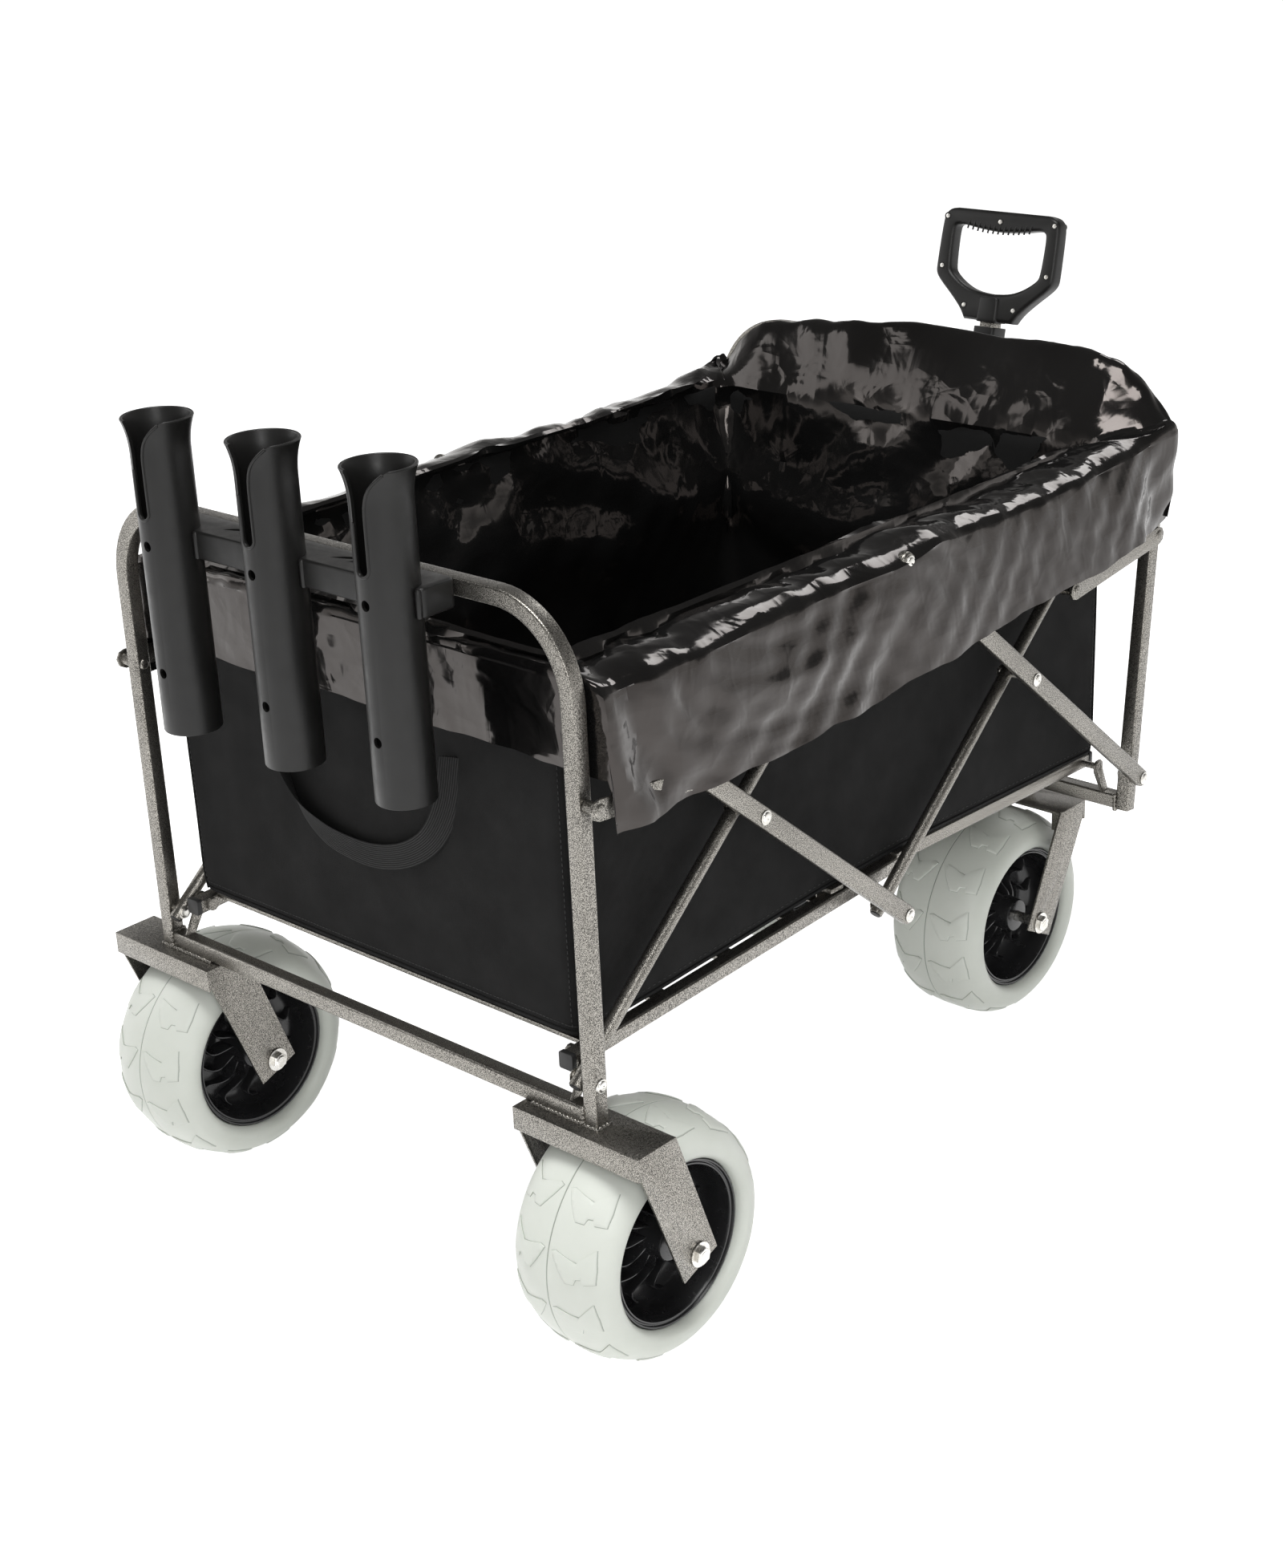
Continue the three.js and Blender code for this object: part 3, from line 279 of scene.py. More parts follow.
def lathe(profile, sides, centre, axis="X", start=0.0):
    """Turns a profile of (place along the axis, radius) pairs; a zero radius makes one pole."""
    places, rings = [], []
    for height, radius in profile:
        ring = []
        for i in range(sides if radius > 0 else 1):
            turn = start + 2 * math.pi * i / sides
            a, b = radius * math.cos(turn), radius * math.sin(turn)
            offset = (height, a, b) if axis == "X" else (a, b, height)
            ring.append(len(places))
            places.append(Vector(centre) + Vector(offset))
        rings.append(ring)
    faces = []
    closed = profile[0] != profile[-1] and profile[0][1] > 0 and profile[-1][1] > 0
    pairs = list(zip(rings, rings[1:]))
    if closed:
        pairs.append((rings[-1], rings[0]))
    for low, high in pairs:
        if len(low) == 1 and len(high) == 1:
            continue
        for i in range(sides):
            k = (i + 1) % sides
            if len(low) == 1:
                faces.append([low[0], high[i], high[k]])
            elif len(high) == 1:
                faces.append([low[i], high[0], low[k]])
            else:
                faces.append([low[i], high[i], high[k], low[k]])
    return places, faces


def cylinder(low, high, radius, sides, centre, axis="X"):
    return lathe([(low, 0), (low, radius), (high, radius), (high, 0)], sides, centre, axis)


def rounded_box(width, height, radius, steps=4):
    """The outline of a rectangle with round corners, centred on zero."""
    points = []
    for corner, (sx, sy) in enumerate(((1, 1), (-1, 1), (-1, -1), (1, -1))):
        for i in range(steps + 1):
            turn = math.pi / 2 * (corner + i / steps)
            points.append((
                sx * (width / 2 - radius) + radius * math.cos(turn),
                sy * (height / 2 - radius) + radius * math.sin(turn),
            ))
    return points


def circle(radius, sides):
    return [
        (radius * math.cos(2 * math.pi * i / sides), radius * math.sin(2 * math.pi * i / sides))
        for i in range(sides)
    ]


def between(low, high):
    """The solid between two outlines with as many places each."""
    count = len(low)
    faces = [list(reversed(range(count))), list(range(count, 2 * count))]
    faces += [[i, (i + 1) % count, count + (i + 1) % count, count + i] for i in range(count)]
    return low + high, faces


def prism(outline, low, high, axis):
    """A solid from an outline and its two levels along the Y or the Z axis."""
    if axis == "Y":
        return between([(u, low, v) for u, v in outline], [(u, high, v) for u, v in outline])
    return between([(u, v, low) for u, v in outline], [(u, v, high) for u, v in outline])


def gathered(shape):
    """The vertices and faces of a bmesh, which is freed."""
    shape.verts.index_update()
    made = Shape().add([v.co for v in shape.verts], [[v.index for v in f.verts] for f in shape.faces])
    shape.free()
    return made


def flattened(shape, degrees):
    """Makes the flat faces of a bmesh whole again."""
    bmesh.ops.dissolve_limit(shape, angle_limit=math.radians(degrees), verts=shape.verts, edges=shape.edges)


def dressed(node, material, edge=0.45 * MM):
    """A copy of a frame node's solid with its flat faces whole again and its edges rounded."""
    shape = bmesh.new()
    shape.from_mesh(frame["nodes"][node].data)
    bmesh.ops.remove_doubles(shape, verts=shape.verts, dist=MERGE)
    flattened(shape, 0.6)
    return bevelled(gathered(shape).build(node + "_dressed", finish(material)), edge)


def stand_in(made, body, slot, *nodes):
    """Puts a piece on its body and hides the nodes that it stands for; its slot is not used."""
    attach(made, body)
    if nodes:
        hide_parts(*nodes)
    return made


def stand_for(made, node, slot):
    """Puts a piece in the place of a frame node, on the body that carries it."""
    return stand_in(made, carrier_of(node), slot, node)


def solid(name, shape, material, sharp=35):
    """A piece made of one solid's places and faces."""
    return Shape().add(*shape).build(name, finish(material), sharp=sharp)


# Materials


def feed(links, socket, value):
    """Links a socket to another one, or gives it a plain value."""
    if isinstance(value, bpy.types.NodeSocket):
        links.new(value, socket)
    else:
        socket.default_value = value


def new_node(tree, kind, inputs=None, **settings):
    """A node with its settings, and its inputs linked or set."""
    node = tree.nodes.new(kind)
    for key, value in settings.items():
        setattr(node, key, value)
    for key, value in (inputs or {}).items():
        feed(tree.links, node.inputs[key], value)
    return node


def set_stops(node, stops):
    """Gives a colour ramp its (position, grey or colour) stops."""
    band = node.color_ramp.elements
    while len(band) < len(stops):
        band.new(0.5)
    for element, (position, colour) in zip(band, stops):
        element.position = position
        element.color = (*colour, 1) if isinstance(colour, tuple) else (colour, colour, colour, 1)


class Shader:
    """A material made node by node; values go on its own Principled BSDF."""

    def __init__(self, name, **values):
        self.material = bpy.data.materials.new(name)
        self.material.use_nodes = True
        self.tree = self.material.node_tree
        self.links = self.tree.links
        self.surface = self.tree.nodes["Principled BSDF"]
        for key, value in values.items():
            self.surface.inputs[key.replace("_", " ")].default_value = value
        self.place = self.add("ShaderNodeTexCoord").outputs["Object"]

    def add(self, kind, inputs=None, **settings):
        return new_node(self.tree, kind, inputs, **settings)

    def noise(self, scale, detail=3.0, rough=0.5, place=None, distortion=0.0):
        return self.add("ShaderNodeTexNoise", {
            "Vector": place or self.place, "Scale": scale, "Detail": detail,
            "Roughness": rough, "Distortion": distortion,
        }).outputs["Fac"]

    def cells(self, scale, feature="F1", place=None):
        inputs = {"Vector": place or self.place, "Scale": scale}
        return self.add("ShaderNodeTexVoronoi", inputs, feature=feature).outputs["Distance"]

    def wave(self, scale, direction, place=None):
        inputs = {"Vector": place or self.place, "Scale": scale, "Detail": 1.0, "Detail Scale": 2.0}
        return self.add("ShaderNodeTexWave", inputs, bands_direction=direction).outputs["Fac"]

    def stretched(self, scale, place=None):
        inputs = {"Vector": place or self.place, "Scale": scale}
        return self.add("ShaderNodeMapping", inputs).outputs["Vector"]

    def ramp(self, value, *stops):
        """Maps a value through (position, grey or colour) stops."""
        node = self.add("ShaderNodeValToRGB", {"Fac": value})
        set_stops(node, stops)
        return node.outputs["Color"]

    def math(self, operation, a, b):
        return self.add("ShaderNodeMath", {0: a, 1: b}, operation=operation).outputs[0]

    def attribute(self, name):
        return self.add("ShaderNodeAttribute", attribute_name=name).outputs["Fac"]

    def blend(self, share, a, b):
        a, b = ((*v, 1) if isinstance(v, tuple) else v for v in (a, b))
        return self.add("ShaderNodeMix", {0: share, 6: a, 7: b}, data_type="RGBA").outputs[2]

    def colour(self, value):
        self.links.new(value, self.surface.inputs["Base Color"])

    def rough(self, value):
        self.links.new(value, self.surface.inputs["Roughness"])

    def bump(self, *layers):
        """Stacks (height, strength, depth in metres) bumps on the surface."""
        normal = None
        for height, strength, depth in layers:
            inputs = {"Height": height, "Strength": strength, "Distance": depth}
            if normal is not None:
                inputs["Normal"] = normal
            normal = self.add("ShaderNodeBump", inputs).outputs["Normal"]
        self.links.new(normal, self.surface.inputs["Normal"])
        return self.material


def hammertone():
    """Speckled two-tone powder coat: light flecks over a dark ground, with an orange-peel skin."""
    make = Shader("powder_coat", Metallic=0.9, Roughness=0.3)
    flecks = make.noise(1250, 2.0, 0.5)
    patches = make.noise(9, 2.0)
    spread = make.math("ADD", flecks, make.math("MULTIPLY", make.math("SUBTRACT", patches, 0.5), 0.1))
    share = make.ramp(spread, (0.42, 0.0), (0.57, 1.0))
    make.colour(make.blend(share, (0.05, 0.047, 0.042), (0.38, 0.362, 0.328)))
    make.rough(make.ramp(flecks, (0.35, 0.4), (0.65, 0.22)))
    return make.bump((make.noise(430, 2.0), 0.35, 0.5 * MM), (flecks, 0.55, 0.35 * MM))


def zinc():
    make = Shader("zinc", Metallic=1.0, Roughness=0.3)
    stain = make.noise(140, 4.0, 0.6)
    make.colour(make.ramp(stain, (0.3, (0.55, 0.53, 0.49)), (0.7, (0.84, 0.83, 0.8))))
    make.rough(make.ramp(make.noise(420, 3.0), (0.3, 0.2), (0.7, 0.42)))
    return make.bump((make.noise(900, 3.0), 0.25, 0.15 * MM))


def moulded(name, tone, rough, grain=1500, shine=0.5):
    """Moulded plastic: a fine spark-eroded grain, slight flow marks and rubbed highlights."""
    make = Shader(name, Roughness=rough, Specular_IOR_Level=shine)
    flow = make.noise(14, 3.0, 0.6, make.stretched((1, 1, 0.3)))
    dark = tuple(0.8 * c for c in tone)
    light = tuple(1.35 * c for c in tone)
    make.colour(make.ramp(flow, (0.3, dark), (0.7, light)))
    make.rough(make.ramp(make.noise(60, 4.0, 0.65), (0.25, rough - 0.07), (0.75, rough + 0.1)))
    return make.bump((make.noise(grain, 2.0), 0.22, 0.12 * MM))


def tyre_rubber():
    """Pale grey-green polyurethane with faint stains; painted shade darkens the feet of its lugs and the
    crown's seam.
    """
    make = Shader("tyre", Roughness=0.42)
    stain = make.noise(11, 4.0, 0.6)
    body = make.ramp(stain, (0.3, (0.72, 0.755, 0.69)), (0.7, (0.79, 0.82, 0.76)))
    dirt = make.ramp(make.noise(70, 5.0, 0.7), (0.68, 0.0), (0.86, 0.35))
    body = make.blend(dirt, body, (0.47, 0.49, 0.43))
    # Painted shade: the marked lug feet and crown seam are darkened as if shaded by the steps and the seam.
    foot = make.ramp(make.attribute("groove"), (0.15, 0.0), (0.7, 0.8))
    make.colour(make.blend(foot, body, (0.22, 0.25, 0.21)))
    make.rough(make.ramp(make.noise(35, 3.0), (0.3, 0.34), (0.7, 0.5)))
    return make.bump((make.noise(240, 3.0), 0.15, 0.3 * MM))


def oxford_cloth():
    """Plain-woven black polyester on its own flat coordinates, in metres."""
    make = Shader("black_cloth", Roughness=0.86, Specular_IOR_Level=0.25)
    flat = make.add("ShaderNodeUVMap", uv_map="cloth").outputs["UV"]
    warp = make.wave(330, "X", flat)
    weft = make.wave(330, "Y", flat)
    over = make.math("MULTIPLY", warp, weft)
    patches = make.noise(22, 4.0, 0.6)
    tone = make.math("ADD", make.math("MULTIPLY", over, 0.7), make.math("MULTIPLY", patches, 0.35))
    make.colour(make.ramp(tone, (0.1, 0.0025), (0.9, 0.012)))
    make.rough(make.ramp(patches, (0.3, 0.8), (0.7, 0.93)))
    slub = make.noise(900, 2.0, 0.5, make.stretched((1, 0.15, 1), flat))
    return make.bump((make.noise(16, 3.0), 0.3, 3 * MM), (over, 0.6, 0.35 * MM), (slub, 0.25, 0.2 * MM))


def webbing():
    """Woven strap: lengthwise ribs crossed by a tight weft, on its own flat coordinates."""
    make = Shader("webbing", Roughness=0.78, Specular_IOR_Level=0.3)
    flat = make.add("ShaderNodeUVMap", uv_map="cloth").outputs["UV"]
    ribs = make.wave(150, "Y", flat)
    weft = make.wave(420, "X", flat)
    both = make.math("ADD", make.math("MULTIPLY", ribs, 0.7), make.math("MULTIPLY", weft, 0.3))
    make.colour(make.ramp(both, (0.1, 0.004), (0.9, 0.024)))
    make.rough(make.ramp(ribs, (0.2, 0.9), (0.8, 0.7)))
    return make.bump((both, 0.9, 0.7 * MM))


def film():
    """Thin glossy black film with a crumpled skin."""
    make = Shader("black_film", Roughness=0.1, Specular_IOR_Level=0.62)
    # Painted reflection: a warm tint on the film's reflections stands in for warm surroundings that the scene
    # does not have.
    make.surface.inputs["Specular Tint"].default_value = (1.0, 0.9, 0.85, 1)
    creases = make.cells(21, "DISTANCE_TO_EDGE", make.stretched((1, 1.35, 0.8)))
    area = make.noise(5, 2.0)
    make.colour(make.ramp(area, (0.3, 0.003), (0.7, 0.009)))
    make.rough(make.ramp(make.noise(16, 3.0), (0.3, 0.06), (0.72, 0.16)))
    ridge = make.ramp(creases, (0.0, 1.0), (0.1, 0.0))
    facets = make.cells(30, place=make.stretched((1, 0.8, 1.5)))
    return make.bump(
        (make.noise(24, 2.0, 0.45, distortion=0.8), 0.3, 4 * MM), (facets, 0.16, 4 * MM), (ridge, 0.1, MM),
    )


def thread():
    make = Shader("thread", Roughness=0.7)
    twist = make.wave(700, "DIAGONAL")
    make.colour(make.ramp(twist, (0.2, 0.012), (0.8, 0.045)))
    return make.bump((twist, 0.6, 0.2 * MM))


MATERIALS = {
    "steel": hammertone,
    "zinc": zinc,
    "plastic": lambda: moulded("black_plastic", (0.0085, 0.0083, 0.008), 0.38, shine=0.34),
    "hub": lambda: moulded("hub_plastic", (0.017, 0.017, 0.018), 0.22, 2600),
    "cap": lambda: moulded("cap_plastic", (0.012, 0.012, 0.012), 0.5),
    "tyre": tyre_rubber,
    "cloth": oxford_cloth,
    "webbing": webbing,
    "film": film,
    "thread": thread,
}


@cache
def finish(name):
    """The named material, made when it is first asked for."""
    return MATERIALS[name]()


# Geometry Nodes


class Tree:
    """A Geometry Nodes tree with named inputs, put together node by node."""

    def __init__(self, name, **inputs):
        self.tree = bpy.data.node_groups.new(name, "GeometryNodeTree")
        self.tree.is_modifier = True
        face = self.tree.interface
        face.new_socket("Geometry", in_out="INPUT", socket_type="NodeSocketGeometry")
        face.new_socket("Geometry", in_out="OUTPUT", socket_type="NodeSocketGeometry")
        for key, kind in inputs.items():
            face.new_socket(key, in_out="INPUT", socket_type="NodeSocket" + kind)
        self.start = self.tree.nodes.new("NodeGroupInput").outputs

    def node(self, kind, inputs=None, **settings):
        return new_node(self.tree, kind, inputs, **settings).outputs

    def copies(self, points, turn):
        """Source on each of the points, with its Euler turn."""
        source = self.node("GeometryNodeObjectInfo", {"Object": self.start["Source"]})
        turned = self.node("FunctionNodeEulerToRotation", {0: turn})
        return self.node("GeometryNodeInstanceOnPoints", {
            "Points": points, "Instance": source["Geometry"], "Rotation": turned[0],
        })[0]

    def ended(self, geometry):
        """Realizes the instances, gives them the Material input and closes the tree."""
        real = self.node("GeometryNodeRealizeInstances", {"Geometry": geometry})
        worn = self.node("GeometryNodeSetMaterial", {"Geometry": real[0], "Material": self.start["Material"]})
        self.node("NodeGroupOutput", {0: worn[0]})
        return self.tree


def ring_tree():
    """Copies of Source, set round the X axis through Centre."""
    make = Tree("ring_of", Source="Object", Count="Int", Centre="Vector", Phase="Float", Material="Material")
    points = make.node("GeometryNodePoints", {"Count": make.start["Count"]})
    index = make.node("GeometryNodeInputIndex")[0]
    step = make.node("ShaderNodeMath", {0: 2 * math.pi, 1: make.start["Count"]}, operation="DIVIDE")
    parts = {0: index, 1: step[0], 2: make.start["Phase"]}
    turn = make.node("ShaderNodeMath", parts, operation="MULTIPLY_ADD")
    spin = make.node("ShaderNodeCombineXYZ", {"X": turn[0]})
    copies = make.copies(points[0], spin[0])
    moved = make.node("GeometryNodeTransform", {"Geometry": copies, "Translation": make.start["Centre"]})
    return make.ended(moved[0])


def points_tree():
    """Copies of Source on the carrier's vertices, turned by the vertices' own attribute."""
    make = Tree("on_points", Source="Object", Material="Material")
    turn = make.node("GeometryNodeInputNamedAttribute", {"Name": "turn"}, data_type="FLOAT_VECTOR")
    return make.ended(make.copies(make.start["Geometry"], turn[0]))


def tube_tree():
    """A round rod of Radius along the carrier's edges, with closed ends."""
    make = Tree("round_tube", Radius="Float", Sides="Int", Material="Material")
    line = make.node("GeometryNodeMeshToCurve", {"Mesh": make.start["Geometry"]})
    ring = make.node("GeometryNodeCurvePrimitiveCircle", {
        "Resolution": make.start["Sides"], "Radius": make.start["Radius"],
    })
    tube = make.node("GeometryNodeCurveToMesh", {
        "Curve": line[0], "Profile Curve": ring[0], "Fill Caps": True,
    })
    return make.ended(tube[0])


TREES = {"ring": ring_tree, "points": points_tree, "tube": tube_tree}


@cache
def tree(kind):
    """The tree of a kind, made when it is first asked for."""
    return TREES[kind]()


def grown(name, kind, carrier, sharp=35, **settings):
    """Runs a tree on a carrier mesh and keeps the result as a plain mesh."""
    made = in_scene(name, carrier)
    group = tree(kind)
    work = made.modifiers.new(kind, "NODES")
    work.node_group = group
    sockets = {item.name: item.identifier for item in group.interface.items_tree if item.in_out == "INPUT"}
    for key, value in settings.items():
        work[sockets[key]] = value
    settled(made, sharp)
    if not len(made.data.polygons):
        raise RuntimeError(f"{name}: its tree made nothing")
    return made


def edge_line(name, *lines):
    """A carrier mesh of open polylines."""
    places, edges = [], []
    for line in lines:
        start = len(places)
        places += line
        edges += [(start + i, start + i + 1) for i in range(len(line) - 1)]
    mesh = bpy.data.meshes.new(name)
    mesh.from_pydata(places, edges, [])
    return mesh


def turned_points(name, places):
    """A carrier mesh of single vertices, each with the Euler turn of its copy."""
    mesh = bpy.data.meshes.new(name)
    mesh.from_pydata([place for place, _ in places], [], [])
    layer = mesh.attributes.new("turn", "FLOAT_VECTOR", "POINT")
    layer.data.foreach_set("vector", [value for _, turn in places for value in turn])
    return mesh


# Hoops: the two end frames

TUBE = extent("rear_u_frame").y
TUBE_ROUND = 2.6 * MM
BEND = 82 * MM  # of a hoop's centre line
BEND_STEPS = 14


def hoop_path(node):
    """The centre line of a hoop, foot to foot; it leans as its box says."""
    low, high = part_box(node)
    half = high.x - TUBE / 2
    lean = (high.y - low.y - TUBE) / (high.z - low.z)
    middle_z = high.z - TUBE / 2 - BEND
    flat = [(-half, low.z)]
    for side in (-1, 1):
        for i in range(BEND_STEPS + 1):
            turn = math.pi / 2 * (i if side < 0 else BEND_STEPS - i) / BEND_STEPS
            flat.append((side * (half - BEND + BEND * math.cos(turn)), middle_z + BEND * math.sin(turn)))
    flat.append((half, low.z))
    return [Vector((x, low.y + TUBE / 2 + (z - low.z) * lean, z)) for x, z in flat]


def build_hoop(node):
    shape = sweep(hoop_path(node), rounded_box(TUBE, TUBE, TUBE_ROUND), (0, 1, 0))
    stand_for(solid(node + "_hoop", shape, "steel"), node, "powder_coat")


def bead(path, radius, closed=False, seed=0):
    """A weld: a lumpy ripple of metal along a path."""
    steps = []
    for i in range(len(path) - (0 if closed else 1)):
        a, b = path[i], path[(i + 1) % len(path)]
        count = max(1, round((b - a).length / (radius * 0.45)))
        steps += [a.lerp(b, k / count) for k in range(count)]
    if not closed:
        steps.append(path[-1])

    def section(share):
        ripple = 0.22 * math.sin(share * len(steps) * 1.35)
        lumps = 0.3 * noise.noise(Vector((share * 23, seed, 0)))
        return circle(radius * (1 + ripple + lumps), 8)

    return sweep(steps, section, (0.3, 0.2, 1), closed)


def build_welds():
    """Beads round the legs' feet and at the ends of the cross bars."""
    radius = 2.3 * MM
    for node, bar in (("rear_u_frame", "rear_crossbar"), ("front_u_frame", "front_crossbar")):
        shape = Shape()
        low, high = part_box(node)
        bar_low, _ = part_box(bar)
        y0, y1 = low.y, low.y + TUBE
        z0, z1 = bar_low.z, bar_low.z + TUBE
        joint = high.x - TUBE
        end = [Vector((joint, y, z)) for y, z in ((y0, z0), (y1, z0), (y1, z1), (y0, z1))]
        shape.add(*bead(end, radius, True, 1))
        if node == "rear_u_frame":
            outer = high.x
            foot = [Vector((x, y, z0)) for x, y in ((joint, y0), (outer, y0), (outer, y1), (joint, y1))]
            shape.add(*bead(foot, radius, True, 2))
            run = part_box("rear_fork_right")[0].x
            y, z = y0 - radius * 0.3, z0 + radius * 0.3
            lap = [Vector((mix(run, joint, share), y, z)) for share in (0.15, 1)]
            shape.add(*bead(lap, radius, False, 3))
        made = shape.mirrored().build(node + "_welds", finish("steel"), sharp=80)
        stand_in(made, carrier_of(node), "powder_coat")


# Scissor bars

OVERHANG = 11 * MM
SHORT_ARM = 113 * MM
FLAT_DEPTH = 20 * MM
PLUG = 1.2 * MM  # of a round bar's end plug outside its tube
BAR_ENDS = {
    "a": ("rear_foot_pin", "top_joint_pin", 0),
    "b": ("middle_joint_pin", "rear_cross_pin", SHORT_ARM),
    "c": ("middle_joint_pin", "front_cross_pin", SHORT_ARM),
    "d": ("front_foot_pin", "top_joint_pin", 0),
}
ROUND_BARS = ("a", "c")


def bar_line(bar, side):
    """The two ends of a bar, past its last pivots."""
    first, last, beyond = BAR_ENDS[bar]
    x = middle(f"scissor_bar_{bar}_{side}").x
    start, end = middle(f"{first}_{side}"), middle(f"{last}_{side}")
    start.x = end.x = x
    along = (end - start).normalized()
    return start - along * OVERHANG, end + along * (beyond + OVERHANG), along


def build_round_bar(bar, side):
    """A round tube with pressed-in end plugs."""
    node = f"scissor_bar_{bar}_{side}"
    start, end, along = bar_line(bar, side)
    radius = extent(node).x / 2
    line = edge_line(node, [start + along * PLUG, end - along * PLUG])
    tube = grown(node + "_tube", "tube", line, Radius=radius, Sides=28, Material=finish("steel"))
    bevelled(tube, 0.8 * MM, 2, 60)
    plugs = Shape()
    for place, way in ((start, 1), (end, -1)):
        face = [place + along * way * step for step in (0, 2 * PLUG)]
        plugs.add(*sweep(face, circle(radius * 0.82, 24), (1, 0, 0)))
    ends = bevelled(plugs.build(node + "_plugs", finish("cap")), 0.5 * MM, 2, 60)
    stand_for(joined(tube, ends), node, "powder_coat")


def build_flat_bar(bar, side):
    """A flattened oval tube whose ends are round."""
    node = f"scissor_bar_{bar}_{side}"
    start, end, along = bar_line(bar, side)
    half = FLAT_DEPTH / 2
    across = Vector((1, 0, 0)).cross(along)
    a, b = start + along * half, end - along * half
    steps = 12
    rim = []
    for centre, turn_from in ((b, -math.pi / 2), (a, math.pi / 2)):
        for i in range(steps + 1):
            turn = turn_from + math.pi * i / steps
            rim.append(centre + along * half * math.cos(turn) + across * half * math.sin(turn))
    thick = Vector((extent(node).x / 2, 0, 0))
    oval = between([p - thick for p in rim], [p + thick for p in rim])
    made = solid(node + "_oval", oval, "steel")
    stand_for(bevelled(made, 3.6 * MM, 4, 50, 50), node, "powder_coat")


# Rivets, bolts and nuts

HEAD = 7.2 * MM
RIVET_RISE = 2.6 * MM
SHANK = 3.8 * MM


def rivet_head():
    """A washer under a domed head with a peened dimple; it points along +X from zero."""
    profile = [
        (0, 0), (0, HEAD), (0.55 * MM, HEAD), (0.75 * MM, HEAD * 0.96), (0.8 * MM, HEAD * 0.82),
    ]
    dome = HEAD * 0.8
    for i in range(6):
        turn = math.pi / 2 * i / 5
        height = 0.8 * MM + (RIVET_RISE - 0.8 * MM) * math.sin(turn)
        profile.append((height, dome * (0.3 + 0.7 * math.cos(turn))))
    profile += [(RIVET_RISE * 0.86, dome * 0.2), (RIVET_RISE * 0.82, 0)]
    return solid("rivet_source", lathe(profile, 24, (0, 0, 0)), "zinc")


def hex_nut():
    """A chamfered hexagon nut on a washer, with the end of its bolt standing out of it."""
    washer, nut, bolt = 0.8 * MM, 2.4 * MM, 2.6 * MM
    shape = Shape().add(*cylinder(0, washer, HEAD, 24, (0, 0, 0)))
    shape.add(*lathe([
        (washer, 0), (washer, HEAD * 0.84), (nut - 0.4 * MM, HEAD * 0.84), (nut, HEAD * 0.74), (nut, 0),
    ], 6, (0, 0, 0)))
    shape.add(*lathe([(washer, 0), (washer, 2.8 * MM), (bolt, 2.5 * MM), (bolt, 0)], 14, (0, 0, 0)))
    return shape.build("nut_source", finish("zinc"))


def build_pins():
    """Each joint's rivet: a head outside, a nut inside and the shank between them."""
    by_body = {}
    for node in frame["nodes"]:
        if node.rsplit("_", 1)[0].endswith("_pin"):
            by_body.setdefault(carrier_of(node), []).append(node)
    head, nut = rivet_head(), hex_nut()
    for body, pins in by_body.items():
        shanks, outside, inside = Shape(), [], []
        for pin in sorted(pins):
            (left, _, _), (right, _, _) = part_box(pin)
            _, y, z = middle(pin)
            left, right = left + RIVET_RISE, right - RIVET_RISE
            shanks.add(*cylinder(left, right, SHANK, 18, (0, y, z)))
            ends = (Vector((left, y, z)), (0, 0, math.pi)), (Vector((right, y, z)), (0, 0, 0))
            inner, outer = ends if left + right > 0 else reversed(ends)
            inside.append(inner)
            outside.append(outer)
        made = shanks.build("pins_" + body, finish("zinc"))
        for label, source, places in (("heads_", head, outside), ("nuts_", nut, inside)):
            carrier = turned_points(label + body, places)
            copies = grown(label + body, "points", carrier, Source=source, Material=finish("zinc"))
            joined(made, copies)
        settled(made)
        stand_in(made, body, "zinc", *pins)
    discarded(head, nut)


def build_axle_bolt(name):
    """A hexagon-headed axle bolt with washers, and its lock nut on the inner side."""
    node = "axle_bolt_" + name
    low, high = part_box(node)
    centre = middle(node)
    at = (0, centre.y, centre.z)
    axle, head, height, washer, chamfer = 6 * MM, 9.2 * MM, 6 * MM, 1.2 * MM, 1.1 * MM
    shape = Shape().add(*cylinder(low.x + height, high.x - height, axle, 20, at))
    for end, way in ((low.x, 1), (high.x, -1)):
        outer = abs(end) > abs(centre.x)
        face = end + way * height
        top = face - way * height * (1 if outer else 1.1)
        shape.add(*cylinder(face, face - way * washer, axle * 2.1, 24, at))
        shape.add(*lathe([
            (face - way * washer, 0), (face - way * washer, head), (top + way * chamfer, head),
            (top, head - chamfer), (top, 0),
        ], 6, at, start=0.3))
        rise, foot, crown = (0.3 * MM, 0.55, 0.5) if outer else (1.5 * MM, 0.72, 0.6)
        tip = top - way * rise
        shape.add(*lathe([(top, 0), (top, head * foot), (tip, head * crown), (tip, 0)], 20, at))
    stand_for(shape.build(node + "_hex", finish("zinc"), sharp=25), node, "zinc")


# Bars, brackets and links that keep the frame's own shapes, with their edges rounded

STEEL_NODES = (
    "rear_crossbar", "front_crossbar", "base_rear_half", "base_front_half", "handle_outer_tube",
    *(f"{part}_{side}" for part in ("rear_fork", "caster_fork", "rear_link", "front_link") for side in SIDES),
)
ZINC_NODES = ("handle_inner_tube", "handle_pivot_bolt", "caster_kingpin_left", "caster_kingpin_right")


def build_steel(node):
    edge = 0.9 * MM if "fork" in node or "crossbar" in node else 0.5 * MM
    stand_for(dressed(node, "steel", edge), node, "powder_coat")


def build_zinc(node):
    material, slot = ("steel", "powder_coat") if "tube" in node else ("zinc", "zinc")
    stand_for(dressed(node, material), node, slot)


RAIL_ENDS = (("base_rear_half", 270 * MM, -1), ("base_front_half", 252 * MM, 1))  # and the way they face
CAP_HALF, CAP_THICK = 8.6 * MM, 5 * MM


